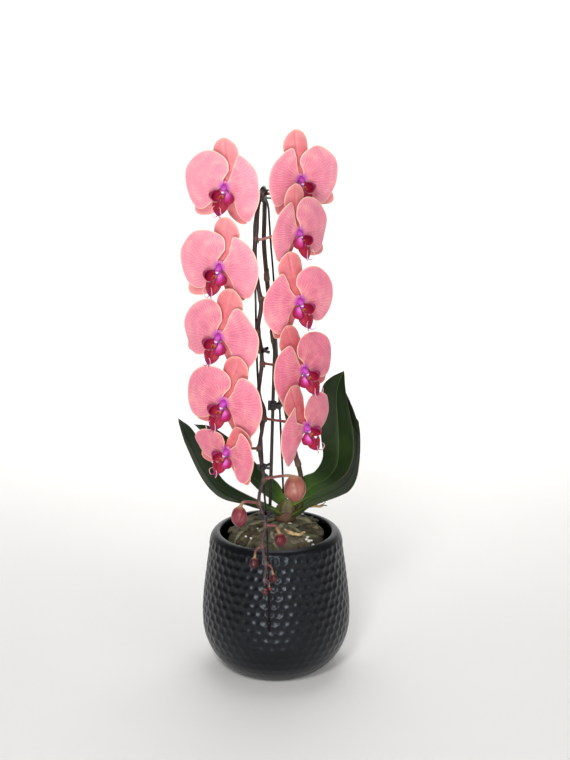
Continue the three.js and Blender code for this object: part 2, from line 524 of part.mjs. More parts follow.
// --------------------------------------------------------------------- flowers
const PETAL_UPPER = [[0.3, 1.2], [1.4, 8], [0.6, 16], [1.2, 24], [5, 30.5], [12, 33.5], [22, 31], [31.5, 24], [38, 14.5], [40.5, 5]];
const PETAL_LOWER = [[0.3, -0.3], [5.5, -3.5], [9.5, -9.5], [14, -17], [20.5, -23.5], [27, -25.5], [33, -22.5], [37.5, -14.5], [40, -5], [40.5, 5]];
const PETAL_AXIS = THREE.MathUtils.degToRad(15.5);
const DORSAL_EDGE = [[0, -5], [5, -8], [14, -10.8], [24, -13.6], [32, -13.6], [39, -9.8], [43, -4.3], [44, 0]];
const LATERAL_EDGE = [[0, -2], [5, -5], [13, -9.5], [22, -12], [30, -11], [37, -7], [41, -3], [42, 0]];

// Moves the edge nearest the column inwards (or outwards, when reach is negative).
const pushInner = ([x, y], reach) => {
  const ramp = (v) => Math.min(Math.max(v, 0), 1);
  const above = Math.exp(-((x / 9) ** 2)) * ramp((y - 4) / 12) * (1 - 0.5 * ramp((y - 26) / 10));
  const below = 0.75 * Math.exp(-((x / 16) ** 2)) * ramp((-y - 3) / 8);
  return [x - reach * (above + below), y];
};

const petalSolid = ([turn, length, width, bend, reach], side, size) => {
  const c = Math.cos(PETAL_AXIS);
  const s = Math.sin(PETAL_AXIS);
  const r = PETAL_AXIS + THREE.MathUtils.degToRad(turn);
  const local = (x, y) => [(x * c + y * s) * length, (-x * s + y * c) * width];
  const place = ([a, b]) => [side * (a * Math.cos(r) - b * Math.sin(r) + 1), a * Math.sin(r) + b * Math.cos(r) + 1];
  const outline = [];
  for (let i = 0; i <= 7; i++) outline.push(place(local(...pushInner(spline(PETAL_UPPER, i / 7), reach))));
  for (let i = 6; i >= 0; i--) outline.push(place(local(...pushInner(spline(PETAL_LOWER, i / 7), reach))));
  const height = (X, Y) => {
    const x = side * X - 1;
    const y = Y - 1;
    const a = (x * Math.cos(r) + y * Math.sin(r)) / 40;
    const b = (-x * Math.sin(r) + y * Math.cos(r)) / 30;
    return 0.8 + bend * a - (bend + 1.5) * a * a - 2.2 * b * b;
  };
  const g = blade(outline, place(local(18, 4)), height, PETAL_THICKNESS);
  g.scale(size, size, size);
  return toSolid(g);
};

const sepalSolid = (edge, base, from, [turn, length], dorsal, size) => {
  const r = THREE.MathUtils.degToRad(base + turn);
  const place = ([a, b]) => [from[0] + a * length * Math.cos(r) - b * Math.sin(r), from[1] + a * length * Math.sin(r) + b * Math.cos(r)];
  const outline = [];
  for (let i = 0; i <= 5; i++) outline.push(place(spline(edge, i / 5)));
  for (let i = 4; i >= 0; i--) {
    const [a, b] = spline(edge, i / 5);
    outline.push(place([a, -b]));
  }
  const height = (x, y) => {
    const dx = x - from[0];
    const dy = y - from[1];
    const a = (dx * Math.cos(r) + dy * Math.sin(r)) / 42;
    const b = (-dx * Math.sin(r) + dy * Math.cos(r)) / 13;
    return (dorsal ? -2.6 - 9 * a + 4 * a * a : -2.6 - 6 * a + 2 * a * a) - 1.6 * b * b;
  };
  const g = blade(outline, place([24, 0]), height, SEPAL_THICKNESS);
  g.scale(size, size, size);
  return toSolid(g);
};

const columnSolid = (size) => {
  const g = lathe([[0, -0.7], [2.9, -0.7], [3.1, 1.6], [2.7, 4], [1.4, 5.6], [0, 6]], 6);
  const p = g.attributes.position;
  for (let i = 0; i < p.count; i++) p.setY(i, p.getY(i) + 0.9 - 0.42 * p.getZ(i));
  g.scale(size, size, size);
  return toSolid(g);
};

const lipSolid = (size, turn) => {
  const half = [[2.2, -7.4], [5.6, -10.2], [8, -13.8], [7.6, -17.6], [5, -21.6], [1, -25]];
  const outline = [...half, ...half.slice().reverse().map(([x, y]) => [-x, y])];
  const mid = blade(outline, [0, -15.5], (x, y) => {
    const d = -7 - y;
    return (d < 11 ? 7 + 0.5 * d : 12.5 + 0.12 * (d - 11)) - 0.045 * x * x;
  }, LIP_THICKNESS);
  const claw = tube([[0, -6, 2.4], [0, -8.4, 5.6], [0, -11, 9.8]], 1.6, 2, 5);
  let solid = toSolid(mid).add(toSolid(claw));
  for (const s of [1, -1]) {
    const rim = SIDE_LOBE_RIM.map(([x, y, z]) => [s * x, y, z]);
    solid = solid.add(toSolid(cup(rim, [s * SIDE_LOBE_BULGE[0], SIDE_LOBE_BULGE[1], SIDE_LOBE_BULGE[2]], LIP_THICKNESS)));
  }
  const k = new THREE.Matrix4().makeRotationY(THREE.MathUtils.degToRad(turn)).scale(new THREE.Vector3(size, size, size));
  return { solid, k };
};

const turnUpright = new THREE.Quaternion().setFromAxisAngle(new THREE.Vector3(1, 0, 0), Math.PI / 2);
for (const f of FLOWERS) {
  const group = new THREE.Group();
  group.position.set(...f.at);
  const rad = THREE.MathUtils.degToRad;
  group.quaternion.copy(turnUpright)
    .multiply(new THREE.Quaternion().setFromAxisAngle(new THREE.Vector3(0, 1, 0), rad(f.yaw)))
    .multiply(new THREE.Quaternion().setFromAxisAngle(new THREE.Vector3(1, 0, 0), rad(f.nod)))
    .multiply(new THREE.Quaternion().setFromAxisAngle(new THREE.Vector3(0, 0, 1), rad(-f.roll)));
  group.updateMatrixWorld(true);
  orchid.add(group);

  const petals = columnSolid(f.size)
    .add(petalSolid(f.petals[0], -1, f.size))
    .add(petalSolid(f.petals[1], 1, f.size));
  add(`flower_${f.name}_petals`, toGeometry(petals), MATERIAL.petal, group);

  // Stalk: from behind the flower, back and round to the spike.
  const back = new THREE.Vector3(0, -0.5, -5.6).multiplyScalar(f.size);
  const out = V(f.at).sub(V(f.node));
  out.z *= 0.4;
  out.addScaledVector(spikeTangent(f.node), -out.dot(spikeTangent(f.node))).normalize();
  const foot = group.worldToLocal(V(f.node).addScaledVector(out, SPIKE_RADIUS + 1.3));
  const knee = group.worldToLocal(V(f.node).addScaledVector(out, 12));
  const curve = new THREE.CubicBezierCurve3(back, back.clone().add(new THREE.Vector3(0, 0, -11)), knee, foot);
  const path = curve.getPoints(5).map((p) => p.toArray());
  const hub = ellipsoid([0, -0.2, -4.3], [3.5, 3.5, 2.1], [0, 0, 1], 6, 4);
  hub.scale(f.size, f.size, f.size);
  let sepals = toSolid(hub)
    .add(sepalSolid(DORSAL_EDGE, 90, [0, 2], f.dorsal, true, f.size))
    .add(sepalSolid(LATERAL_EDGE, 225, [-1.5, -1.5], f.laterals[0], false, f.size))
    .add(sepalSolid(LATERAL_EDGE, -45, [1.5, -1.5], f.laterals[1], false, f.size))
    .add(toSolid(tube(path, PEDICEL_RADIUS, 6, 5)));
  add(`flower_${f.name}_sepals`, toGeometry(sepals), MATERIAL.sepal, group);

  const { solid, k } = lipSolid(f.size, f.lipTurn);
  const lip = toGeometry(solid);
  lip.applyMatrix4(k);
  add(`flower_${f.name}_lip`, lip, MATERIAL.lip, group);
}

// ------------------------------------------------------------------------ buds
for (const b of BUDS) {
  const axis = V(b.axis).normalize();
  let solid = toSolid(ellipsoid(b.at, [b.width / 2, b.width / 2, b.length / 2], b.axis, 9, 6));
  if (b.node) {
    const top = V(b.at).addScaledVector(axis, -b.length * 0.46);
    const out = V(b.up).sub(V(b.node)).normalize();
    const foot = V(b.node).addScaledVector(out, SPIKE_RADIUS + 0.9);
    const r = Math.min(PEDICEL_RADIUS, b.width * 0.13);
    solid = solid.add(toSolid(tube([top.toArray(), V(b.up).lerp(top, 0.35).toArray(), b.up, foot.toArray()], r, 5, 5)));
  }
  add(b.name, toGeometry(solid), MATERIAL.bud);
}

export default orchid;
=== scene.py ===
import math

import bpy
import numpy as np
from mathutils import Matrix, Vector, noise


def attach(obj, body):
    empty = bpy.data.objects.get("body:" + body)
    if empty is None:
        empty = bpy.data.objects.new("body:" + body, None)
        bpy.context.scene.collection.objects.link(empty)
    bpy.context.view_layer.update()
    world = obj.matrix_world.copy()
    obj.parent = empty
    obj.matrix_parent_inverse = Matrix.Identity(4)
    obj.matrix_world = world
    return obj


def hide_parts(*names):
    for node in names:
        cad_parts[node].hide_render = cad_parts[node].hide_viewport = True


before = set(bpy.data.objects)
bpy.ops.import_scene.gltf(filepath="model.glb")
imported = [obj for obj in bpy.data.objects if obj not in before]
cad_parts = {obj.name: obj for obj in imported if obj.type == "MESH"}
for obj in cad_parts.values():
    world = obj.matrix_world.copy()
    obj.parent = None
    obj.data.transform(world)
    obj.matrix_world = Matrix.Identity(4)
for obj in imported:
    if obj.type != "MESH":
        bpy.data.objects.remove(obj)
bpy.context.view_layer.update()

# Potted moth orchid. Lengths below are millimetres unless a name says otherwise; meshes are written in metres.
MM = 0.001
RNG = np.random.default_rng(11)

# ------------------------------------------------------------------ dimensions
POT_OUTSIDE = [(50, 0), (53.5, 1.5), (63, 9), (73, 21), (79.5, 35), (82.6, 48), (83.3, 62), (82.8, 78), (81, 96),
               (78.6, 115), (76.4, 131), (75, 142), (74.4, 149), (72.6, 154.6), (69, 158.8), (65.5, 160)]
POT_INSIDE = [(62.5, 158.6), (62.3, 154), (64.5, 148), (68, 138), (71.5, 118), (74, 96), (75.6, 78), (76, 62), (75, 48),
              (71.5, 36), (65, 25), (56, 14), (49, 8), (30, 8), (0.5, 8)]
SPIKE_PATH = [(23.5, 4, 178.8), (29.1, 5, 195), (27.9, 5, 219.6), (21.2, 4, 249.1), (10.1, 2, 303.6),
              (-0.7, -2, 366.5), (-7, -7, 422.6), (-10, -12, 456), (-11.9, -20, 486.1), (-11.1, -33, 517.4),
              (-10.9, -46, 538.7), (-11.7, -60, 547), (-14.4, -78, 542.7), (-16.9, -92, 533.6), (-17.6, -100, 523.8),
              (-17.9, -105.5, 513.6), (-18.9, -109, 503.3), (-19.7, -112, 493.8), (-19.5, -114, 482.2),
              (-16.6, -115, 459.3), (-13.7, -115, 439.1), (-16.8, -115, 414.7), (-13.9, -115, 395.3),
              (-13, -115, 379.8), (-15.1, -115, 362.2), (-16.2, -115, 346.5), (-10.8, -115, 329.8),
              (-13.3, -115, 309.7), (-15.9, -115, 290.6), (-13.4, -115, 271.3), (-11.4, -115, 258.4),
              (-14.5, -115, 248.7), (-16.7, -115, 232.4), (-12.6, -115.5, 219.5), (-10, -116, 207.7),
              (-12.7, -116, 194.5), (-13.7, -116.5, 184.8), (-11.7, -117, 175), (-9.7, -117.6, 166.1),
              (-10.7, -118, 153), (-11.3, -118.5, 142)]
WIRE_PATH = [(9, 18, 176), (7.9, 18, 205.9), (7.3, 18, 223.6), (4, 17, 299.5), (0.8, 14, 372.8), (-2.2, 4, 444.5),
             (-5, -9, 484.2), (-6.2, -23, 509.5), (-7, -40, 526), (-8.8, -52, 535), (-12, -64, 540.2),
             (-15.2, -77, 537), (-18.6, -90, 527.5), (-20.4, -98, 516), (-20.6, -102.6, 504), (-20.4, -106.4, 492),
             (-19.4, -109.6, 455), (-18.1, -110.2, 379.7), (-14.4, -110.2, 308.3), (-12, -110.2, 254.7),
             (-8.6, -110.8, 200.3), (-7.3, -112.2, 156.4), (-6.7, -114, 123.5), (-6.7, -115, 101)]
END_CAP = [(-6.7, -115.02, 100.6), (-6.8, -115.6, 88)]
STAKE = [(0.5, -12.5, 427), (-7.6, 3.8, 150)]
FLOWERS = [
    dict(name='left_1', at=(-48.7, -106.0, 554.7), yaw=-23.5, nod=7, roll=5.5, size=1.03, node=(-14.4, -78, 542.7),
         petals=[(-1.6, 1.04, 0.99, 5.1, 6), (-9.5, 0.88, 1.06, 7.6, -5)], dorsal=(7.9, 1.01), laterals=[(-2.1, 1.05), (-17.2, 0.91)], lipTurn=0),
    dict(name='right_1', at=(25.5, -94.0, 561.2), yaw=27.1, nod=9.1, roll=-4.5, size=0.99, node=(-11.1, -51, 542.6),
         petals=[(0.7, 0.85, 0.98, 6.7, -5), (-8.6, 1.03, 1.0, 6.2, 5)], dorsal=(3.2, 1.08), laterals=[(13.7, 0.95), (9.0, 1.17)], lipTurn=3),
    dict(name='left_2', at=(-54.1, -116.0, 477.2), yaw=-28.2, nod=7.1, roll=8.2, size=1.07, node=(-19.5, -114, 481.0),
         petals=[(-5.7, 1.04, 1.01, 1.3, 7), (-3.6, 0.98, 0.97, 4.3, -7)], dorsal=(-0.6, 1.02), laterals=[(-0.6, 1.14), (-5.4, 0.84)], lipTurn=-5),
    dict(name='right_2', at=(23.1, -126.0, 513.0), yaw=44.7, nod=5.3, roll=-4.5, size=0.96, node=(-18.9, -109.0, 503.6),
         petals=[(-2.5, 0.87, 1.0, 5.1, -5), (-0.1, 0.99, 1.04, 5.3, 5)], dorsal=(-3.8, 1.07), laterals=[(2.1, 0.79), (11.5, 1.2)], lipTurn=0),
    dict(name='left_3', at=(-55.5, -120.0, 408.3), yaw=-31.9, nod=9.3, roll=14.6, size=1.07, node=(-16.6, -115, 412.5),
         petals=[(-9.4, 0.95, 1.02, 1.9, 6), (-0.9, 1.04, 0.98, 1.4, -5)], dorsal=(-4.7, 1.04), laterals=[(-6.8, 1.06), (0.0, 1.0)], lipTurn=0),
    dict(name='right_3', at=(23.9, -135.0, 447.0), yaw=34.6, nod=6.5, roll=-10.8, size=1.01, node=(-14.6, -115, 446.0),
         petals=[(-4.9, 0.99, 0.99, 4.4, -7), (-10.3, 0.98, 1.0, 5.6, 6)], dorsal=(1.9, 1.08), laterals=[(5.5, 0.97), (8.4, 0.96)], lipTurn=0),
    dict(name='left_4', at=(-50.7, -128.0, 341.8), yaw=-29.2, nod=6.8, roll=16.2, size=1.06, node=(-16.0, -115, 345.5),
         petals=[(-6.9, 1.02, 0.99, 3.2, 6), (-3.6, 0.99, 1.01, 4.8, -5)], dorsal=(-3.0, 1.04), laterals=[(0.9, 0.97), (-0.7, 0.97)], lipTurn=0),
    dict(name='right_4', at=(28.4, -139.0, 378.4), yaw=43.9, nod=1.9, roll=-20, size=0.99, node=(-13.0, -115, 379.8),
         petals=[(1.3, 0.97, 1.0, 4.2, -4), (1.4, 1.04, 0.95, 0.3, 4)], dorsal=(1.8, 1.09), laterals=[(-5.1, 0.92), (1.5, 0.95)], lipTurn=-6),
    dict(name='left_5', at=(-47.9, -134.0, 293.1), yaw=-38.4, nod=15.5, roll=25.7, size=0.97, node=(-15.9, -115, 290.6),
         petals=[(-32.9, 1.07, 0.62, -0.2, 4), (-3.7, 0.83, 1.09, 8, -9)], dorsal=(-26.6, 0.74), laterals=[(4.2, 1.13), (-4.1, 1.01)], lipTurn=-2),
    dict(name='right_5', at=(30.3, -139.0, 320.0), yaw=52.8, nod=12.6, roll=-27.1, size=1, node=(-11.4, -115, 322.4),
         petals=[(-2.6, 0.92, 1.18, 8, -12), (0.5, 0.95, 0.87, 6.1, 2)], dorsal=(3.7, 1.18), laterals=[(2.4, 0.85), (0.0, 1.0)], lipTurn=-3),
]
BUDS = [
    dict(name='bud_1', at=(20.3, -121, 249.6), length=26, width=22.5, axis=(0.12, -0.25, -1), node=(-10.6, -115, 257.6), up=(14, -118, 262)),
    dict(name='bud_2', at=(-36.8, -120, 218.7), length=20.5, width=16.4, axis=(-0.05, -0.3, -1), node=(-16.7, -115, 231.4), up=(-33, -117.5, 233)),
    dict(name='bud_3', at=(5.3, -120, 193), length=14.2, width=12.8, axis=(0.15, -0.3, -1), node=(-10, -116, 207.2), up=(1, -118, 207)),
    dict(name='bud_4', at=(-22.3, -119, 167), length=11.6, width=9.2, axis=(-0.15, -0.3, -1), node=(-13.6, -116.5, 184.6), up=(-20, -118, 181)),
    dict(name='bud_5', at=(-1.5, -119.5, 150.3), length=9.6, width=8, axis=(0.2, -0.3, -1), node=(-9.7, -117.6, 165.8), up=(-4, -118.6, 162)),
    dict(name='bud_6', at=(-10.8, -119.2, 134.6), length=7.4, width=5.2, axis=(-0.05, -0.1, -1)),
    dict(name='bud_7', at=(-5.4, -119, 138.6), length=5, width=4, axis=(0.5, -0.1, -1), node=(-10.6, -118.2, 148), up=(-6.6, -118.6, 146)),
]
LEAVES = {
    'leaf_left_front': dict(
        near=[(6, -8, 180), (-15.2, -18, 194.2), (-32, -28, 202.3), (-55.1, -42, 209.5), (-68.3, -52, 223.1), (-79.9, -58, 243.9), (-94.1, -60, 277.1), (-103, -52, 304.3)],
        far=[(3, 0, 182), (-6, 1, 188), (-20, 1.5, 194), (-44, 0, 208.2), (-60.7, -4, 223), (-77.5, -12, 254.1), (-90.3, -32, 287.4), (-103, -52, 304.3)], sag=5),
    'leaf_left_back': dict(
        near=[(8, 7, 184), (-4.4, 7, 192.2), (-20.1, 8, 204.5), (-40.1, 10, 226.2), (-59.9, 10, 249.5), (-78.3, 6, 269.3), (-90.1, 4, 281.3)],
        far=[(12, 14, 192), (2.2, 26, 205.5), (-13.7, 34, 216), (-34.1, 38, 238.4), (-54.2, 36, 256.7), (-75.7, 20, 274.4), (-90.1, 4, 281.3)], sag=5),
    'leaf_right_upright': dict(
        near=[(20.1, -2, 188), (35.6, -7, 199.1), (51, -9, 209.2), (65.3, -8, 217), (79, -4, 227.4), (86.4, 2, 246.2), (85.9, 8, 268.7), (82.1, 14, 288.8), (77.7, 22, 312.4), (75.5, 28, 335.7)],
        far=[(16, 8, 191), (23.6, 12, 202), (30.3, 15, 216.3), (43.8, 18, 222), (52, 20, 237.5), (50.3, 22, 257.5), (49.7, 24, 275), (51, 26, 314.2), (60, 27, 327.8), (75.5, 28, 335.7)], sag=4),
    'leaf_right_lower': dict(
        near=[(17, -7, 178), (32.2, -14, 190), (51.8, -22, 199.7), (71.4, -26, 208.8), (81.1, -26, 216.1), (88.5, -16, 226.6), (93, 4, 245.6), (93, 22, 266.8), (88, 38, 287.8), (78.9, 50, 304.9)],
        far=[(19, 12, 180), (38.4, 30, 190), (56.9, 44, 198), (75.3, 54, 208.2), (85.3, 60, 227.9), (86.2, 62, 251.3), (84, 62, 272.1), (81.5, 60, 288.6), (79.5, 56, 298), (78.9, 50, 304.9)], sag=4),
}
ROOTS = {
    'root_right': dict(path=[(22, 16, 176), (30.3, 17, 180.5), (42.9, 24, 179), (51, 30, 176.5), (58.1, 36, 175)], radius=1.5),
    'root_front': dict(path=[(10, -27, 168.5), (17, -33, 167.5), (25, -34, 166.5), (32, -29, 167.2)], radius=1.7),
}
CLIPS = {
    'clip_apex': dict(at=(-11.9, -64, 543.2), reach=(3.9, 8.2), length=7, normal=(0.13, 0.98, 0.12), turn=0),
    'clip_upper': dict(at=(-15.4, -112.4, 392.5), reach=(5.2, 6.0), length=5, normal=(0.06, 0, 1), turn=0.2),
    'clip_middle': dict(at=(-13.1, -112.6, 269.6), reach=(4.4, 6.2), length=4.4, normal=(-0.1, 0, 1), turn=0),
    'clip_lower': dict(at=(-11.0, -113.2, 217.2), reach=(5.6, 6.4), length=4.4, normal=(-0.1, 0, 1), turn=0.3),
    'clip_stake': dict(at=(-3.2, -4.7, 305), reach=(4.6, 4.6), length=9, normal=(0.03, -0.06, 1), turn=0),
}

# --------------------------------------------------------------------- camera
cam_data = bpy.data.cameras.new("camera")
cam_data.sensor_fit = 'AUTO'
cam_data.sensor_width = 36.0
cam_data.lens = 67.74
cam_data.clip_end = 100.0
cam = bpy.data.objects.new("camera", cam_data)
cam.location = (0.0101, -1.509, 0.7227)
cam.rotation_euler = (math.radians(75.5), 0, 0)
bpy.context.scene.collection.objects.link(cam)
bpy.context.scene.camera = cam


# ----------------------------------------------------------------- mesh tools
def A(p):
    return np.asarray(p, float)


def unit(v):
    v = A(v)
    return v / np.maximum(np.linalg.norm(v, axis=-1, keepdims=True), 1e-12)


def smooth01(x, a, b):
    t = np.clip((x - a) / (b - a), 0, 1)
    return t * t * (3 - 2 * t)


def spline(P, t):
    """Uniform Catmull-Rom through P, with reflected ends; t runs 0 to 1."""
    P = A(P)
    n = len(P) - 1
    u = np.clip(A(t), 0, 1) * n
    i = np.minimum(u.astype(int), n - 1)
    f = (u - i)[..., None]
    g = lambda j: P[np.clip(j, 0, n)]
    p0, p1, p2, p3 = g(i - 1), g(i), g(i + 1), g(i + 2)
    p0 = np.where((i == 0)[..., None], 2 * p1 - p2, p0)
    p3 = np.where((i == n - 1)[..., None], 2 * p2 - p1, p3)
    return .5 * ((2 * p1) + (-p0 + p2) * f + (2 * p0 - 5 * p1 + 4 * p2 - p3) * f * f + (-p0 + 3 * p1 - 3 * p2 + p3) * f ** 3)


def ring_spline(P, n):
    """Closed Catmull-Rom through P, n points."""
    P = A(P)
    m = len(P)
    u = np.arange(n) / n * m
    i = u.astype(int)
    f = (u - i)[:, None]
    p0, p1, p2, p3 = P[(i - 1) % m], P[i % m], P[(i + 1) % m], P[(i + 2) % m]
    return .5 * ((2 * p1) + (-p0 + p2) * f + (2 * p0 - 5 * p1 + 4 * p2 - p3) * f * f + (-p0 + 3 * p1 - 3 * p2 + p3) * f ** 3)


def even(path, step):
    """The polyline resampled at an even step."""
    path = A(path)
    s = np.concatenate([[0], np.cumsum(np.linalg.norm(np.diff(path, axis=0), axis=1))])
    n = max(2, int(round(s[-1] / step)) + 1)
    q = np.linspace(0, s[-1], n)
    return np.stack([np.interp(q, s, path[:, k]) for k in range(3)], 1)


def centripetal(P, per=14):
    """Centripetal Catmull-Rom through P."""
    P = A(P)
    ext = np.vstack([2 * P[0] - P[1], P, 2 * P[-1] - P[-2]])
    out = []
    for i in range(1, len(ext) - 2):
        p0, p1, p2, p3 = ext[i - 1:i + 3]
        t0 = 0.0
        t1 = t0 + np.linalg.norm(p1 - p0) ** .5
        t2 = t1 + np.linalg.norm(p2 - p1) ** .5
        t3 = t2 + np.linalg.norm(p3 - p2) ** .5
        t = np.linspace(t1, t2, per, endpoint=False)[:, None]
        a1 = (t1 - t) / (t1 - t0) * p0 + (t - t0) / (t1 - t0) * p1
        a2 = (t2 - t) / (t2 - t1) * p1 + (t - t1) / (t2 - t1) * p2
        a3 = (t3 - t) / (t3 - t2) * p2 + (t - t2) / (t3 - t2) * p3
        b1 = (t2 - t) / (t2 - t0) * a1 + (t - t0) / (t2 - t0) * a2
        b2 = (t3 - t) / (t3 - t1) * a2 + (t - t1) / (t3 - t1) * a3
        out.append((t2 - t) / (t2 - t1) * b1 + (t - t1) / (t2 - t1) * b2)
    out.append(P[-1:])
    return np.vstack(out)


def frames(path, up=(0.31, 0.17, 0.93)):
    """Tangent and two cross directions along a path, turning as little as possible."""
    path = A(path)
    T = unit(np.gradient(path, axis=0))
    n = A(up) - np.dot(up, T[0]) * T[0]
    if np.linalg.norm(n) < 1e-3:
        n = np.cross(T[0], (1, 0, 0))
    n = unit(n)
    N = [n]
    for i in range(1, len(path)):
        n = n - np.dot(n, T[i]) * T[i]
        n = unit(n)
        N.append(n)
    N = A(N)
    return T, N, np.cross(T, N)


class Part:
    """A mesh being gathered: points in millimetres, faces, and per-point data."""

    def __init__(self):
        self.v, self.f, self.m, self.data, self.n = [], [], [], {}, 0

    def add(self, verts, faces, mat=0, **data):
        verts = A(verts)
        k = len(verts)
        self.v.append(verts)
        self.f.extend([tuple(int(i) + self.n for i in face) for face in faces])
        self.m.extend([mat] * len(faces))
        for key in set(self.data) | set(data):
            width = 4 if key.startswith('c') else 3
            if key not in self.data:
                self.data[key] = [np.tile(A([1.0] * width), (self.n, 1))] if self.n else []
            val = data.get(key)
            val = np.tile(A([1.0] * width), (k, 1)) if val is None else np.broadcast_to(A(val), (k, A(val).shape[-1]))
            if width == 4 and val.shape[1] == 3:
                val = np.hstack([val, np.ones((k, 1))])
            self.data[key].append(val)
        self.n += k
        return self

    def object(self, name, mats, replaces=(), slot=None, smooth=True):
        me = bpy.data.meshes.new(name)
        v = np.vstack(self.v) * MM
        me.from_pydata(v.tolist(), [], self.f)
        me.polygons.foreach_set("use_smooth", [smooth] * len(me.polygons))
        for m in mats:
            me.materials.append(m)
        if len(mats) > 1:
            me.polygons.foreach_set("material_index", self.m)
        for key, rows in self.data.items():
            arr = np.vstack(rows).astype(np.float32)
            if key.startswith('c'):
                me.attributes.new(key, 'FLOAT_COLOR', 'POINT').data.foreach_set("color", arr.ravel())
            else:
                me.attributes.new(key, 'FLOAT_VECTOR', 'POINT').data.foreach_set("vector", arr.ravel())
        me.validate()
        me.update()
        ob = bpy.data.objects.new(name, me)
        bpy.context.scene.collection.objects.link(ob)
        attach(ob, "root")
        for n in ([replaces] if isinstance(replaces, str) else replaces):
            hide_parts(n)
        return ob


def grid_faces(rows, cols, closed=False, off=0):
    out = []
    for i in range(rows - 1):
        for j in range(cols if closed else cols - 1):
            a = off + i * cols + j
            b = off + i * cols + (j + 1) % cols
            out.append((a, b, b + cols, a + cols))
    return out


def tube(path, radius, sides=14, caps=(True, True), section=None, up=(0.31, 0.17, 0.93)):
    """A closed tube. radius: one number, or one for each point of the path. section(angle, i) scales it.
    Returns points, faces, and for each point its place along (mm), angle and radius."""
    path = A(path)
    r = np.broadcast_to(A(radius), (len(path),)).copy()
    T, N, B = frames(path, up)
    s = np.concatenate([[0], np.cumsum(np.linalg.norm(np.diff(path, axis=0), axis=1))])
    centre, rad, along, frame_i = [], [], [], []
    if caps[0]:
        for q in (80, 55, 30):
            a = math.radians(q)
            centre.append(path[0] - T[0] * r[0] * math.sin(a))
            rad.append(r[0] * math.cos(a))
            along.append(s[0])
            frame_i.append(0)
    for i in range(len(path)):
        centre.append(path[i])
        rad.append(r[i])
        along.append(s[i])
        frame_i.append(i)
    if caps[1]:
        for q in (30, 55, 80):
            a = math.radians(q)
            centre.append(path[-1] + T[-1] * r[-1] * math.sin(a))
            rad.append(r[-1] * math.cos(a))
            along.append(s[-1])
            frame_i.append(len(path) - 1)
    centre, rad, along, frame_i = A(centre), A(rad), A(along), np.array(frame_i)
    ang = np.arange(sides) / sides * 2 * np.pi
    k = np.ones((len(centre), sides)) if section is None else section(ang[None, :], frame_i[:, None], along[:, None])
    R = rad[:, None] * k
    P = centre[:, None] + N[frame_i][:, None] * (R * np.cos(ang))[..., None] + B[frame_i][:, None] * (R * np.sin(ang))[..., None]
    rows = len(centre)
    v = P.reshape(-1, 3)
    f = grid_faces(rows, sides, True)
    ends = []
    c0, c1 = len(v), len(v) + 1
    tip0 = centre[0] - (T[0] * r[0] * 0.02 if caps[0] else 0)
    tip1 = centre[-1] + (T[-1] * r[-1] * 0.02 if caps[1] else 0)
    v = np.vstack([v, tip0, tip1])
    for j in range(sides):
        jn = (j + 1) % sides
        f.append((c0, jn, j))
        ends.append(0)
        f.append((c1, (rows - 1) * sides + j, (rows - 1) * sides + jn))
    info = np.stack([np.repeat(along, sides), np.tile(ang, rows), np.repeat(rad, sides)], 1)
    info = np.vstack([info, [s[0], 0, r[0]], [s[-1], 0, r[-1]]])
    return v, f, info


def blade_mesh(outline, centre, place, thickness, ks=None, edge_scale=1.0):
    """A thin closed blade. outline (n, 2) and centre are flat coordinates; place(xy) gives the mid surface in
    three dimensions. Rings run from the centre to a rounded rim.
    Returns points, faces, flat coordinates, ring place 0..1 and which face (1 front, 0 back)."""
    outline, centre = A(outline), A(centre)
    n = len(outline)
    ks = ks or [0.1, 0.2, 0.3, 0.4, 0.5, 0.6, 0.69, 0.77, 0.84, 0.9, 0.945, 0.975]
    rim_k = [k for k in ks] + [0.993]
    flat = [centre[None]] + [centre + (outline - centre) * k for k in rim_k] + [outline]
    xy = np.vstack(flat)
    ring = np.concatenate([[0], np.repeat(rim_k, n), np.ones(n)])
    eps = 0.05
    mid = place(xy)
    dx = place(xy + A([eps, 0])) - place(xy - A([eps, 0]))
    dy = place(xy + A([0, eps])) - place(xy - A([0, eps]))
    nor = unit(np.cross(dx, dy))
    th = np.broadcast_to(thickness(xy, ring) if callable(thickness) else thickness, (len(xy),)).copy()
    size = np.linalg.norm(outline - centre, axis=1)
    size = np.concatenate([[1e3], np.tile(size, len(rim_k) + 1)])
    gap = (1 - ring) * size                      # distance in from the rim along the spoke
    half = th / 2
    rounding = np.sqrt(np.clip(1 - np.clip(1 - gap / np.maximum(half, 1e-6), 0, 1) ** 2, 0, 1))
    up = mid + nor * (half * rounding)[:, None]
    dn = mid - nor * (half * rounding)[:, None]
    m = len(rim_k)
    rim0 = 1 + m * n
    v = np.vstack([up, dn[:rim0]])
    back = len(up)
    f = []
    idx = lambda r, i, base=0: base + 1 + r * n + i % n
    for i in range(n):
        f.append((0, idx(0, i), idx(0, i + 1)))
        f.append((back, back + 1 + (i + 1) % n, back + 1 + i))
    for r in range(m - 1):
        for i in range(n):
            f.append((idx(r, i), idx(r + 1, i), idx(r + 1, i + 1), idx(r, i + 1)))
            f.append((idx(r, i, back), idx(r, i + 1, back), idx(r + 1, i + 1, back), idx(r + 1, i, back)))
    for i in range(n):
        f.append((idx(m - 1, i), rim0 + i, rim0 + (i + 1) % n, idx(m - 1, i + 1)))
        f.append((idx(m - 1, i, back), idx(m - 1, i + 1, back), rim0 + (i + 1) % n, rim0 + i))
    xy2 = np.vstack([xy, xy[:rim0]])
    ring2 = np.concatenate([ring, ring[:rim0]])
    side = np.concatenate([np.ones(len(up)), np.zeros(rim0)])
    area = 0.5 * np.sum(outline[:, 0] * np.roll(outline[:, 1], -1) - np.roll(outline[:, 0], -1) * outline[:, 1])
    if area < 0:
        f = [tuple(reversed(q)) for q in f]
        # the front stays the side that the flat frame's normal points to
    return v, f, xy2, ring2, side


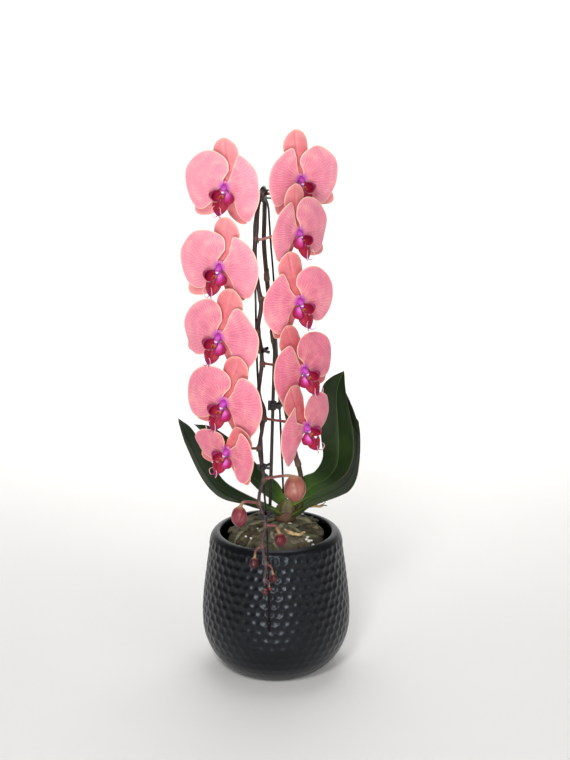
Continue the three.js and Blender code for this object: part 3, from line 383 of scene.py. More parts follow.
def edge_distance(xy, outline):
    """Distance from each flat point to the outline."""
    a = outline
    b = np.roll(outline, -1, axis=0)
    ab = b - a
    out = np.empty(len(xy))
    for i in range(0, len(xy), 2000):
        p = xy[i:i + 2000, None]
        t = np.clip(((p - a) * ab).sum(-1) / np.maximum((ab * ab).sum(-1), 1e-9), 0, 1)
        out[i:i + 2000] = np.sqrt((((a + ab * t[..., None]) - p) ** 2).sum(-1)).min(1)
    return out


def lathe(profile, segments):
    """Closed lathe from [(r, z)]; profile ends on the axis at both ends."""
    prof = A(profile)
    ang = np.arange(segments) / segments * 2 * np.pi
    inner = prof[(prof[:, 0] > 1e-6)]
    v = np.stack([inner[:, None, 0] * np.cos(ang), inner[:, None, 0] * np.sin(ang), np.repeat(inner[:, 1:2], segments, 1)], -1).reshape(-1, 3)
    f = grid_faces(len(inner), segments, True)
    a, b = len(v), len(v) + 1
    v = np.vstack([v, [0, 0, prof[0, 1]], [0, 0, prof[-1, 1]]])
    last = (len(inner) - 1) * segments
    for j in range(segments):
        jn = (j + 1) % segments
        f.append((a, jn, j))
        f.append((b, last + j, last + jn))
    return v, f


def fbm(v, scale, octaves=3, seed=0.0):
    out = np.empty(len(v))
    o = Vector((seed * 13.7, seed * 7.1, seed * 3.3))
    for i, p in enumerate(v):
        out[i] = noise.fractal(Vector(p) * scale + o, 1.0, 2.0, octaves)
    return out


# ------------------------------------------------------------- material tools
def lin(h):
    c = [int(h[i:i + 2], 16) / 255 for i in (1, 3, 5)]
    return tuple((x / 12.92 if x <= 0.04045 else ((x + 0.055) / 1.055) ** 2.4) for x in c) + (1.0,)


def lin3(h):
    return A(lin(h)[:3])


class Mat:
    def __init__(self, name, **sockets):
        self.mat = bpy.data.materials.new(name)
        self.mat.use_nodes = True
        self.t = self.mat.node_tree
        self.b = self.t.nodes["Principled BSDF"]
        for k, val in sockets.items():
            self.b.inputs[k.replace("_", " ")].default_value = val

    def node(self, kind, **props):
        n = self.t.nodes.new(kind)
        for k, val in props.items():
            setattr(n, k, val)
        return n

    def put(self, socket, value):
        if isinstance(value, bpy.types.NodeSocket):
            self.t.links.new(value, socket)
        elif value is not None:
            socket.default_value = value

    def math(self, op, a, b=None, c=None, clamp=False):
        n = self.node('ShaderNodeMath', operation=op, use_clamp=clamp)
        self.put(n.inputs[0], a)
        self.put(n.inputs[1], b)
        if c is not None:
            self.put(n.inputs[2], c)
        return n.outputs[0]

    def step(self, x, a, b):
        n = self.node('ShaderNodeMapRange', interpolation_type='SMOOTHSTEP')
        self.put(n.inputs[0], x)
        n.inputs[1].default_value = a
        n.inputs[2].default_value = b
        n.inputs[3].default_value = 0
        n.inputs[4].default_value = 1
        return n.outputs[0]

    def remap(self, x, a, b, c, d):
        n = self.node('ShaderNodeMapRange')
        self.put(n.inputs[0], x)
        for i, val in zip((1, 2, 3, 4), (a, b, c, d)):
            n.inputs[i].default_value = val
        return n.outputs[0]

    def mix(self, fac, a, b, blend='MIX'):
        n = self.node('ShaderNodeMix', data_type='RGBA', blend_type=blend, clamp_factor=True)
        self.put(n.inputs[0], fac)
        self.put(n.inputs[6], a)
        self.put(n.inputs[7], b)
        return n.outputs[2]

    def attr(self, name):
        n = self.node('ShaderNodeAttribute', attribute_name=name)
        return n

    def split(self, vec):
        n = self.node('ShaderNodeSeparateXYZ')
        self.put(n.inputs[0], vec)
        return n.outputs

    def join(self, x, y, z):
        n = self.node('ShaderNodeCombineXYZ')
        for i, val in enumerate((x, y, z)):
            self.put(n.inputs[i], val)
        return n.outputs[0]

    def scale(self, vec, s):
        n = self.node('ShaderNodeVectorMath', operation='MULTIPLY')
        self.put(n.inputs[0], vec)
        n.inputs[1].default_value = s
        return n.outputs[0]

    def noise(self, vec, scale, detail=3, rough=0.5, distortion=0.0):
        n = self.node('ShaderNodeTexNoise')
        self.put(n.inputs['Vector'], vec)
        n.inputs['Scale'].default_value = scale
        n.inputs['Detail'].default_value = detail
        n.inputs['Roughness'].default_value = rough
        n.inputs['Distortion'].default_value = distortion
        return n.outputs['Fac']

    def voronoi(self, vec, scale, feature='F1'):
        n = self.node('ShaderNodeTexVoronoi', feature=feature)
        self.put(n.inputs['Vector'], vec)
        n.inputs['Scale'].default_value = scale
        return n.outputs

    def obj(self):
        return self.node('ShaderNodeTexCoord').outputs['Object']

    def ramp(self, fac, stops):
        n = self.node('ShaderNodeValToRGB')
        self.put(n.inputs[0], fac)
        el = n.color_ramp.elements
        while len(el) > 1:
            el.remove(el[-1])
        el[0].position = stops[0][0]
        el[0].color = stops[0][1]
        for p, c in stops[1:]:
            e = el.new(p)
            e.color = c
        return n.outputs[0]

    def bump(self, height, strength, distance, normal=None):
        n = self.node('ShaderNodeBump')
        n.inputs['Strength'].default_value = strength
        n.inputs['Distance'].default_value = distance
        self.put(n.inputs['Height'], height)
        if normal is not None:
            self.put(n.inputs['Normal'], normal)
        return n.outputs[0]

    def out(self, **links):
        for k, val in links.items():
            self.put(self.b.inputs[k.replace("_", " ")], val)
        return self.mat


# ------------------------------------------------------------------ materials
def tepal_material(name, lines, near, mid, far, vein, rim, glow, back, rim_width=1.5):
    """Petal or sepal. Data 'pa': distance from the base, fan angle, distance from the rim (mm).
    'pb': tone of the flower, front or back, ring place. A higher tone makes the colour more saturated and darker, as
    painted shade."""
    m = Mat(name, Roughness=0.52, Specular_IOR_Level=0.35, Subsurface_Weight=0.08, Sheen_Weight=0.1, Sheen_Roughness=0.5)
    m.b.inputs['Subsurface Radius'].default_value = (1.0, 0.35, 0.3)
    m.b.inputs['Subsurface Scale'].default_value = 0.0012
    r, phi, edge = m.split(m.attr('pa').outputs['Vector'])
    tone, front, ring = m.split(m.attr('pb').outputs['Vector'])
    flat = m.join(m.math('MULTIPLY', r, 0.05), m.math('MULTIPLY', phi, 1.6), tone)
    drift = m.math('MULTIPLY', m.math('SUBTRACT', m.noise(flat, 2.2, 2), 0.5), 0.14)
    x0 = m.math('MULTIPLY', m.math('ADD', phi, drift), lines)

    def line(x, n, width):
        d = m.math('ABSOLUTE', m.math('SUBTRACT', m.math('FRACT', m.math('ADD', x, 0.5)), 0.5))
        d = m.math('MULTIPLY', m.math('DIVIDE', d, n), r)
        return m.math('SUBTRACT', 1.0, m.step(d, width * 0.25, width))

    s1 = m.math('MULTIPLY', m.step(r, 12, 26), 0.5)
    s2 = m.math('MULTIPLY', m.step(r, 28, 40), 0.5)
    v0 = line(x0, lines, 0.62)
    v1 = m.math('MULTIPLY', line(m.math('SUBTRACT', x0, s1), lines, 0.58), m.step(r, 13, 17))
    v2 = m.math('MULTIPLY', line(m.math('SUBTRACT', m.math('MULTIPLY', x0, 2.0), s2), lines * 2, 0.42), m.step(r, 29, 34))
    veins = m.math('MAXIMUM', m.math('MAXIMUM', v0, v1), m.math('MULTIPLY', v2, 0.5))
    fade = m.math('MULTIPLY', m.step(edge, 0.8, 4.5), m.step(r, 3.0, 9.0))
    veins = m.math('MULTIPLY', veins, fade)
    # the field between the veins: soft clouds of mauve and coral, and fine cells
    cloud = m.noise(m.join(m.math('MULTIPLY', r, 0.06), m.math('MULTIPLY', phi, 1.1), tone), 1.7, 3, 0.55)
    col = m.ramp(m.remap(r, 0, 46, 0, 1), [(0.10, near), (0.34, mid), (0.7, far), (1.0, far)])
    col = m.mix(m.math('MULTIPLY', m.step(cloud, 0.42, 0.72), 0.3), col, vein)
    col = m.mix(m.math('MULTIPLY', m.step(m.math('SUBTRACT', 1.0, cloud), 0.48, 0.75), 0.3), col, rim)
    grain = m.noise(m.obj(), 900, 2, 0.6)
    streak = m.noise(m.join(m.math('MULTIPLY', r, 0.03), m.math('MULTIPLY', phi, 11.0), tone), 3.0, 3, 0.6)
    col = m.mix(m.math('MULTIPLY', m.step(streak, 0.45, 0.75), 0.16), col, vein)
    col = m.mix(m.math('MULTIPLY', veins, 0.4), col, vein)
    col = m.mix(m.math('MULTIPLY', m.step(grain, 0.45, 0.7), 0.14), col, rim)
    # pale rim, and the violet glow at the throat
    rim_mask = m.math('SUBTRACT', 1.0, m.step(m.math('ADD', edge, m.math('MULTIPLY', m.math('SUBTRACT', cloud, 0.5), 0.5)), rim_width * 0.25, rim_width * 0.95))
    col = m.mix(m.math('MULTIPLY', rim_mask, 0.85), col, rim)
    col = m.mix(m.math('MULTIPLY', m.math('SUBTRACT', 1.0, m.step(m.math('ADD', r, m.math('MULTIPLY', m.math('SUBTRACT', streak, 0.5), 5.0)), 5.8, 11.5)), 0.9), col, glow)
    col = m.mix(m.math('MULTIPLY', m.math('SUBTRACT', 1.0, front), 0.45), col, back)
    # each flower's tone also seeds its noise; a higher tone makes it more saturated and darker, which is painted shade
    tone_shade_hsv = m.node('ShaderNodeHueSaturation')
    m.put(tone_shade_hsv.inputs['Saturation'], m.remap(tone, 0, 1, 0.96, 1.15))
    m.put(tone_shade_hsv.inputs['Value'], m.remap(tone, 0, 1, 1.02, 0.83))
    m.put(tone_shade_hsv.inputs['Color'], col)
    height = m.math('SUBTRACT', m.math('MULTIPLY', grain, 0.35), m.math('MULTIPLY', veins, 0.8))
    return m.out(Base_Color=tone_shade_hsv.outputs[0], Roughness=m.remap(streak, 0.2, 0.8, 0.44, 0.6), Normal=m.bump(height, 0.35, 0.00035))


PETAL = tepal_material("petal", 6.0, lin('#ee9b9f'), lin('#ea8b9e'), lin('#ec95a6'), lin('#c65a80'), lin('#f6d2b6'), lin('#b544be'), lin('#eaa19c'))
SEPAL = tepal_material("sepal", 22.0, lin('#ec867c'), lin('#ec8a8c'), lin('#ee9799'), lin('#cc6076'), lin('#f4cbb2'), lin('#e98a84'), lin('#e5958c'), 1.3)


def tinted_material(name, rough, spec, noise_scale, dark, light, bump=0.0002, strength=0.3, sub=0.0, stretch=(1, 1, 1), sheen=0.0, coat=0.0, amount=0.3):
    """Colour from the point colour 'col', broken up by noise towards a darker and a lighter tone."""
    m = Mat(name, Specular_IOR_Level=spec, Subsurface_Weight=sub, Sheen_Weight=sheen, Coat_Weight=coat, Coat_Roughness=0.15)
    m.b.inputs['Subsurface Radius'].default_value = (1.0, 0.3, 0.25)
    m.b.inputs['Subsurface Scale'].default_value = 0.002
    col = m.attr('col').outputs['Color']
    vec = m.scale(m.obj(), stretch)
    n1 = m.noise(vec, noise_scale, 4, 0.6)
    n2 = m.noise(vec, noise_scale * 6, 3, 0.6)
    c = m.mix(m.math('MULTIPLY', m.step(n1, 0.5, 0.78), amount), col, dark)
    c = m.mix(m.math('MULTIPLY', m.step(n2, 0.55, 0.8), amount * 0.7), c, light)
    h = m.math('ADD', m.math('MULTIPLY', n1, 0.6), m.math('MULTIPLY', n2, 0.4))
    return m.out(Base_Color=c, Roughness=m.remap(n2, 0.3, 0.7, rough - 0.06, rough + 0.08), Normal=m.bump(h, strength, bump))


LIP = tinted_material("lip", 0.44, 0.2, 260, lin('#5c0a22'), lin('#d8577f'), 0.00015, 0.3, 0.1, sheen=0.04, amount=0.3)
COLUMN = tinted_material("column", 0.45, 0.3, 300, lin('#8e2a92'), lin('#ecb4ea'), 0.0001, 0.2, 0.15)
BUD = tinted_material("bud", 0.33, 0.34, 210, lin('#4a101b'), lin('#d79a84'), 0.00014, 0.3, 0.05, stretch=(1, 1, 0.35), amount=0.1)
STEM = tinted_material("stem", 0.42, 0.32, 260, lin('#2c1f1c'), lin('#8d7768'), 0.0003, 0.45, 0.0, stretch=(1, 1, 0.16), amount=0.28)
CROWN = tinted_material("crown", 0.5, 0.4, 160, lin('#2d2a17'), lin('#8b8252'), 0.0005, 0.5, 0.0, stretch=(1, 1, 0.25), amount=0.5)
ROOT = tinted_material("root", 0.75, 0.2, 240, lin('#5f482d'), lin('#e3cfa4'), 0.0005, 0.6, 0.0, amount=0.5)
BARKM = tinted_material("bark", 0.85, 0.25, 190, lin('#2c271d'), lin('#8f8a6c'), 0.0007, 0.7, 0.0, amount=0.55)


def leaf_material():
    """Data 'la': place along 0..1, across -1..1, half width mm. 'lb': face (1 upper), tone."""
    m = Mat("leaf", Specular_IOR_Level=0.16)
    u, v, w = m.split(m.attr('la').outputs['Vector'])
    upper, tone, thick = m.split(m.attr('lb').outputs['Vector'])
    av = m.math('ABSOLUTE', v)
    across = m.math('MULTIPLY', v, w)
    streak = m.noise(m.join(m.math('MULTIPLY', u, 1.6), m.math('MULTIPLY', across, 0.5), tone), 3.0, 4, 0.6)
    blotch = m.noise(m.obj(), 34, 3, 0.5)
    col = m.ramp(u, [(0.0, lin('#66802f')), (0.10, lin('#3c5a20')), (0.3, lin('#213216')), (1.0, lin('#1a2910'))])
    col = m.mix(m.math('MULTIPLY', m.step(blotch, 0.5, 0.75), 0.35), col, lin('#30451c'))
    col = m.mix(m.math('MULTIPLY', m.step(streak, 0.5, 0.8), 0.45), col, lin('#121f0c'))
    rib = m.math('SUBTRACT', 1.0, m.step(m.math('ABSOLUTE', across), 0.25, 1.3))
    col = m.mix(m.math('MULTIPLY', rib, 0.35), col, lin('#5d7f3c'))
    margin = m.step(av, 0.955, 0.995)
    col = m.mix(m.math('MULTIPLY', margin, 0.7), col, lin('#5b4a36'))
    under = m.mix(m.math('MULTIPLY', m.step(blotch, 0.45, 0.7), 0.5), lin('#222e1b'), lin('#2a2f24'))
    col = m.mix(m.math('MULTIPLY', m.math('SUBTRACT', 1.0, upper), 0.75), col, under)
    fine = m.noise(m.join(m.math('MULTIPLY', u, 3.0), m.math('MULTIPLY', across, 2.2), tone), 3.0, 2, 0.5)
    h = m.math('ADD', m.math('MULTIPLY', fine, 0.5), m.math('MULTIPLY', rib, -0.8))
    rough = m.math('ADD', m.remap(streak, 0.3, 0.7, 0.42, 0.56), m.math('MULTIPLY', m.math('SUBTRACT', 1.0, upper), 0.24))
    rough = m.math('ADD', rough, m.math('MULTIPLY', m.math('SUBTRACT', thick, 1.0), 0.3))
    return m.out(Base_Color=col, Roughness=rough, Normal=m.bump(h, 0.35, 0.0004))


def pot_material():
    m = Mat("black_ceramic", Specular_IOR_Level=0.34, Specular_Tint=(0.82, 0.91, 1.0, 1.0))
    o = m.obj()
    fine = m.noise(o, 1400, 3, 0.6)
    cloud = m.noise(o, 22, 3, 0.5)
    spots = m.voronoi(o, 650)[0]
    col = m.mix(m.step(cloud, 0.35, 0.7), lin('#040406'), lin('#08090c'))
    col = m.mix(m.math('MULTIPLY', m.step(fine, 0.6, 0.75), 0.35), col, lin('#18191c'))
    rough = m.math('ADD', m.remap(cloud, 0.3, 0.7, 0.29, 0.35), m.math('MULTIPLY', m.math('SUBTRACT', fine, 0.5), 0.16))
    h = m.math('ADD', m.math('MULTIPLY', fine, 0.6), m.math('MULTIPLY', m.step(spots, 0.0, 0.35), 0.2))
    return m.out(Base_Color=col, Roughness=rough, Normal=m.bump(h, 0.25, 0.00012))


def plastic_material(name, base, other, rough, scale=300, strength=0.2, spec=0.5):
    m = Mat(name, Specular_IOR_Level=spec)
    o = m.obj()
    n1 = m.noise(o, scale, 3, 0.6)
    n2 = m.noise(o, scale * 0.12, 3, 0.5)
    col = m.mix(m.step(n2, 0.35, 0.7), lin(base), lin(other))
    return m.out(Base_Color=col, Roughness=m.remap(n1, 0.3, 0.7, rough - 0.05, rough + 0.08), Normal=m.bump(n1, strength, 0.0001))


LEAF = leaf_material()
POT = pot_material()
WIRE = plastic_material("coated_wire", '#020302', '#070907', 0.2, 300, 0.2, 0.3)
CAP = plastic_material("rubber_cap", '#010101', '#030303', 0.3, 300, 0.2, 0.16)
CLIP = plastic_material("clip", '#120f0e', '#241c18', 0.3)
STAKEM = plastic_material("stake", '#191812', '#2b2418', 0.42, 500, 0.4)
LINER = plastic_material("liner", '#2b2d29', '#3d3f3b', 0.4)
PERLITE = plastic_material("perlite", '#d9d6cb', '#f0eee6', 0.8, 900, 0.6, 0.3)


def paint(part_cols):
    return A(part_cols)


# --------------------------------------------------------------------- the pot
def build_pot():
    seg = 448
    prof = A(POT_OUTSIDE)
    fine = centripetal(np.hstack([prof, np.zeros((len(prof), 1))]), 10)[:, :2]
    s = np.concatenate([[0], np.cumsum(np.linalg.norm(np.diff(fine, axis=0), axis=1))])
    total = s[-1]
    rows = 138
    q = np.linspace(0, total, rows)
    out = np.stack([np.interp(q, s, fine[:, 0]), np.interp(q, s, fine[:, 1])], 1)
    tan = unit(np.gradient(out, axis=0))
    nor = np.stack([tan[:, 1], -tan[:, 0]], 1)               # outwards
    ang = np.arange(seg) / seg * 2 * np.pi
    # hammered dimples: hollows round staggered centres, meeting in soft ridges
    lip_s = np.interp(154.5, out[:, 1][::1], q)
    pitch, count = 9.6, 48
    nrow = int(lip_s // pitch) + 1
    cs, ca = [], []
    rng = np.random.default_rng(5)
    for j in range(nrow + 1):
        sj = lip_s - 4.4 - j * pitch
        for i in range(count):
            cs.append(sj + rng.normal(0, 0.45))
            ca.append((i + 0.5 * (j % 2) + 0.06 * j + rng.normal(0, 0.05)) / count * 2 * np.pi)
    cs, ca = A(cs), A(ca)
    depth = np.zeros((rows, seg))
    for i in range(rows):
        near = np.abs(cs - q[i]) < 13
        if not near.any():
            continue
        d = np.abs(ang[:, None] - (ca[near] % (2 * np.pi))[None])
        d = np.minimum(d, 2 * np.pi - d) * max(out[i, 0], 45)
        d2 = d ** 2 + (cs[near] - q[i])[None] ** 2
        k = 6.0
        sm = -k * np.log(np.exp(-d2 / k).sum(1) + 1e-12)      # soft minimum of the squared distance
        depth[i] = np.clip(1 - np.clip(sm, 0, None) / 27.0, 0, 1)
    fade = smooth01(q, 22, 78) * (1 - smooth01(q, lip_s - 2.0, lip_s + 1.5))
    drop = (0.16 + 0.84 * smooth01(q, 30, 80)) * (1 - smooth01(q, lip_s - 2.0, lip_s + 1.5)) * smooth01(q, 8, 26)
    rr = out[:, 0][:, None] - nor[:, 0][:, None] * depth * drop[:, None] * 1.2
    zz = out[:, 1][:, None] - nor[:, 1][:, None] * depth * drop[:, None] * 1.2
    P = np.stack([rr * np.cos(ang), rr * np.sin(ang), zz], -1)
    inner = [(64.6, 159.95), (63.4, 159.6)] + POT_INSIDE
    inner = centripetal([(a, b, 0) for a, b in inner], 2)[:, :2]
    Q = np.stack([inner[:, None, 0] * np.cos(ang), inner[:, None, 0] * np.sin(ang), np.repeat(inner[:, 1:2], seg, 1)], -1)
    foot = A([(0.5, 1.6), (40, 1.6), (46.5, 1.4), (47.5, 0.15), (48.5, 0)])
    F = np.stack([foot[:, None, 0] * np.cos(ang), foot[:, None, 0] * np.sin(ang), np.repeat(foot[:, 1:2], seg, 1)], -1)
    v = np.vstack([F.reshape(-1, 3), P.reshape(-1, 3), Q.reshape(-1, 3)])
    n = len(foot) + rows + len(inner)
    f = grid_faces(n, seg, True)
    a, b = len(v), len(v) + 1
    v = np.vstack([v, [0, 0, foot[0, 1]], [0, 0, inner[-1, 1]]])
    last = (n - 1) * seg
    for j in range(seg):
        jn = (j + 1) % seg
        f.append((a, jn, j))
        f.append((b, last + j, last + jn))
    Part().add(v, f).object("pot_shell", [POT], "cover_pot", "black_ceramic")


build_pot()


def build_liner():
    base = 8.35
    top = base + 130
    prof = [(0, base), (40, base), (42.5, base + 0.8), (43.4, base + 3)]
    for i in range(7):
        k = i / 6
        prof.append((43.6 + (53.0 - 43.6) * k * 0.96, base + 6 + (top - 11 - base) * k))
    prof += [(53.1, top - 5.2), (54.4, top - 4.8), (54.5, top - 1.0), (54.1, top - 0.1), (52.9, top), (52.0, top - 0.5), (51.4, top - 4)]
    prof += [(41.6, base + 4), (40, base + 1.8), (0, base + 1.8)]
    v, f = lathe(prof, 96)
    ang = np.arctan2(v[:, 1], v[:, 0])
    r = np.hypot(v[:, 0], v[:, 1])
    rib = 1 - 0.008 * (0.5 + 0.5 * np.cos(12 * ang)) * smooth01(v[:, 2], base + 4, base + 16) * (1 - smooth01(v[:, 2], top - 22, top - 8)) * (r > 20)
    v[:, 0] *= rib
    v[:, 1] *= rib
    Part().add(v, f).object("liner_shell", [LINER], "liner_pot", "liner_plastic")


build_liner()


# --------------------------------------------------------------- potting bark
def mound_height(x, y):
    r = np.hypot(x, y)
    h = np.interp(r, [0, 20, 34, 44, 50, 53, 54.5], [170, 168.6, 166, 162.4, 157.6, 152, 144])
    a = np.arctan2(y, x)
    h = h + smooth01(r, 60, 20) * 0
    # higher towards the right and back, a lower shoulder at the left
    h += 3.2 * np.exp(-((x - 33) ** 2 + (y - 14) ** 2) / 420.0)
    h -= 1.6 * np.exp(-((x + 34) ** 2 + (y + 22) ** 2) / 300.0)
    return h


def ico(level=2):
    import bmesh
    bm = bmesh.new()
    bmesh.ops.create_icosphere(bm, subdivisions=level, radius=1.0)
    v = A([p.co[:] for p in bm.verts])
    f = [tuple(q.index for q in face.verts) for face in bm.faces]
    bm.free()
    return v, f


ICO3 = ico(3)
ICO2 = ico(2)


def build_bark():
    part = Part()
    seg, rows = 150, 58
    ang = np.arange(seg) / seg * 2 * np.pi
    rad = 54.2 * (np.arange(rows) + 0.5) / rows
    R, T = np.meshgrid(rad, ang, indexing='ij')
    X, Y = R * np.cos(T), R * np.sin(T)
    Z = mound_height(X, Y)
    v = np.stack([X, Y, Z], -1).reshape(-1, 3)
    lump = fbm(v, 0.055, 4, 3.0) * 3.4 - 1.6 * np.exp(-(fbm(v, 0.06, 2, 14.0) / 0.07) ** 2) + fbm(v, 0.3, 3, 9.0) * 0.7
    v[:, 2] += lump * np.repeat(1 - smooth01(rad, 50, 54.2), seg) - 0.8
    side = A([(54.2, 143), (53.4, 139.2), (51.2, 138.4), (41.2, 12.6), (30, 10.7), (0.6, 10.7)])
    S = np.stack([side[:, None, 0] * np.cos(ang), side[:, None, 0] * np.sin(ang), np.repeat(side[:, 1:2], seg, 1)], -1).reshape(-1, 3)
    v = np.vstack([v, S])
    n = rows + len(side)
    f = [tuple(reversed(q)) for q in grid_faces(n, seg, True)]
    a, b = len(v), len(v) + 1
    v = np.vstack([v, [0, 0, v[:seg, 2].mean()], [0, 0, 10.7]])
    last = (n - 1) * seg
    for j in range(seg):
        jn = (j + 1) % seg
        f.append((a, j, jn))
        f.append((b, last + jn, last + j))
    tone = fbm(v, 0.05, 3, 21.0)
    base = lin3('#5a5644')
    col = base[None] * (1 + 0.5 * tone[:, None]) + lin3('#3b2f22')[None] * np.clip(fbm(v, 0.09, 2, 33.0), 0, 1)[:, None] * 0.6
    part.add(v, f, col=np.clip(col, 0.01, 1))
    part.object("bark_bed", [BARKM], "potting_bark", "bark")

    chips = Part()
    rng = np.random.default_rng(23)
    hues = ['#57523f', '#5e5845', '#4d4636', '#615b4a', '#4c4132', '#686250', '#554a38', '#5c5e4b']
    iv, jf = ICO3
    k = 0
    for i in range(56):
        r = 50.2 * math.sqrt((i + 0.5) / 56)
        a = i * 2.39996 + rng.normal(0, 0.16)
        x, y = r * math.cos(a) + rng.normal(0, 1.2), r * math.sin(a) + rng.normal(0, 1.2)
        rr = math.hypot(x, y)
        if rr > 49.5:
            x, y = x * 49.5 / rr, y * 49.5 / rr
        if math.hypot((x - 11) / 13, (y - 3) / 10) < 0.9:
            continue
        size = A([rng.uniform(5.5, 10.5), rng.uniform(4.5, 7.5), rng.uniform(1.6, 2.8)])
        p = np.sign(iv) * np.abs(iv) ** 0.72
        p = p * size
        nz = fbm(p + i * 17.3, 0.3, 3, 5.0)
        p = p * (1 + 0.28 * nz[:, None])
        az, tilt = rng.uniform(0, 2 * math.pi), rng.normal(0, 0.32)
        ca, sa, ct, st = math.cos(az), math.sin(az), math.cos(tilt), math.sin(tilt)
        p = p @ A([[ct, 0, -st], [0, 1, 0], [st, 0, ct]]).T @ A([[ca, -sa, 0], [sa, ca, 0], [0, 0, 1]]).T
        h = float(mound_height(A(x), A(y)))
        lean = smooth01(rr, 36, 50) * -0.5
        p[:, 2] += lean * (p[:, 0] * x + p[:, 1] * y) / max(rr, 1)
        p += A([x, y, h + rng.uniform(-2.2, -0.2)])
        rp = np.hypot(p[:, 0], p[:, 1])
        squeeze = np.where(rp > 53.8, 53.8 / np.maximum(rp, 1), 1.0)
        p[:, :2] *= squeeze[:, None]
        c = lin3(hues[rng.integers(len(hues))]) * rng.uniform(0.78, 1.2)
        shade = 1 + 0.35 * fbm(p, 0.22, 3, 2.0)
        chips.add(p, jf, col=np.clip(c[None] * shade[:, None], 0.01, 1))
        k += 1
    chips.object("bark_chips", [BARKM], "potting_bark", "bark")

    # live roots that run over and into the bark, and pale bits
    live = Part()
    runs = [[(2, -6, 0), (-10, -18, 1.2), (-22, -30, 0.8), (-30, -40, -1.5), (-36, -47, -6)],
            [(-2, 2, 1), (-18, -4, 1.4), (-34, -12, 0.6), (-44, -24, -1.2), (-47, -33, -6)],
            [(14, -8, 0), (18, -20, 1.5), (30, -30, 1.4), (38, -26, 0.5), (45, -18, -2), (50, -8, -7)],
            [(20, 8, 0), (32, 4, 1.6), (42, -4, 1.0), (48, 4, -1.0), (49, 16, -6)],
            [(6, 10, 1), (-6, 22, 1.4), (-20, 30, 1.0), (-34, 32, -0.5), (-44, 26, -5)],
            [(12, 12, 1), (16, 26, 1.4), (8, 38, 0.8), (-6, 44, -1.0), (-16, 47, -6)],
            [(8, -10, 0), (4, -22, 1.0), (-4, -34, 1.2), (-2, -44, -0.5), (4, -50, -6)]]
    for j, run in enumerate(runs):
        p = even(centripetal(run, 10), 1.6)
        z = mound_height(p[:, 0], p[:, 1]) + p[:, 2]
        p[:, 2] = z + 0.5 * np.sin(np.arange(len(p)) * 0.45 + j)
        rad = np.interp(np.linspace(0, 1, len(p)), [0, 0.1, 0.8, 1], [1.9, 2.3, 2.0, 1.2]) * (0.9 + 0.06 * j)
        v, f, info = tube(p, rad, 12)
        c = lin3(['#70725a', '#7c7c64', '#66684f', '#857e62', '#6c6f58', '#74705a', '#7f8068'][j])
        shade = 1 + 0.3 * fbm(v, 0.2, 3, 40.0 + j)
        live.add(v, f, col=np.clip(c[None] * shade[:, None], 0.01, 1))
    live.object("surface_roots", [ROOT], "potting_bark", "bark")

    bits = Part()
    spots = [(33, -35, 2.4), (36.5, -34.5, 3.0), (39, -32, 2.0), (35, -31, 2.2), (41, -33.5, 2.6), (15.5, -12, 2.2), (-27, -36, 2.2), (-33, -30, 1.6),
             (-20, -20, 1.5), (-8, 25, 1.8), (30, 30, 2.0), (-40, 5, 1.5)]
    for i, (x, y, s) in enumerate(spots):
        iv2, f2 = ICO2
        p = iv2 * A([s, s * 0.7, s * 0.55]) * (1 + 0.35 * fbm(iv2 * 2 + i * 3.1, 1.0, 2)[:, None])
        a = i * 1.3
        p = p @ A([[math.cos(a), -math.sin(a), 0], [math.sin(a), math.cos(a), 0], [0, 0, 1]]).T
        p += A([x, y, float(mound_height(A(x), A(y))) + 1.9])
        bits.add(p, f2)
    bits.object("pale_bits", [PERLITE], "potting_bark", "bark")


build_bark()


# ------------------------------------------------------------- dry roots
def build_roots():
    for name, r in ROOTS.items():
        p = even(centripetal(r['path'], 12), 0.8)
        t = np.linspace(0, 1, len(p))
        wob = np.stack([np.sin(t * 17 + 1), np.cos(t * 13), np.sin(t * 21 + 2)], 1) * 0.35
        p = p + wob
        if name == 'root_right':
            p[:, 2] += 0.5 * np.sin(t * 9)
            rad = 1.9 * np.interp(t, [0, 0.15, 0.5, 0.8, 1], [1.0, 1.05, 0.85, 0.6, 0.3])
        else:
            rad = 2.0 * np.interp(t, [0, 0.2, 0.7, 1], [0.7, 1.0, 0.9, 0.5])
        sec = lambda a, i, s: 1 + 0.16 * np.sin(2 * a + s * 0.25) + 0.07 * np.sin(5 * a + s * 0.7)
        v, f, info = tube(p, rad, 14, section=sec)
        tone = fbm(v, 0.25, 3, 5.0)
        k = np.clip(info[:, 0] / info[:, 0].max(), 0, 1)
        c0, c1, c2 = lin3('#b3946a'), lin3('#c9ad7e'), lin3('#6b5a45')
        col = c0 * (1 - k[:, None]) + c1 * k[:, None]
        if name == 'root_right':
            dark = smooth01(k, 0.72, 0.98)[:, None]
            col = col * (1 - dark) + c2 * dark
        col = col * (1 + 0.45 * tone[:, None])
        part = Part().add(v, f, col=np.clip(col, 0.01, 1))
        if name == 'root_right':
            for end, rr in (([(49, 29, 177.3), (53, 31, 178.4), (56.5, 32.5, 180.6)], 0.7), ([(45, 26.5, 178.6), (48, 29.5, 180.8), (49.5, 30.5, 181.9)], 0.6)):
                q = even(centripetal(end, 8), 0.6)
                v, f, info = tube(q, np.linspace(rr, 0.25, len(q)), 8)
                part.add(v, f, col=np.broadcast_to(c2 * 0.8, (len(v), 3)))
        part.object(name + "_husk", [ROOT], name, "root")


build_roots()


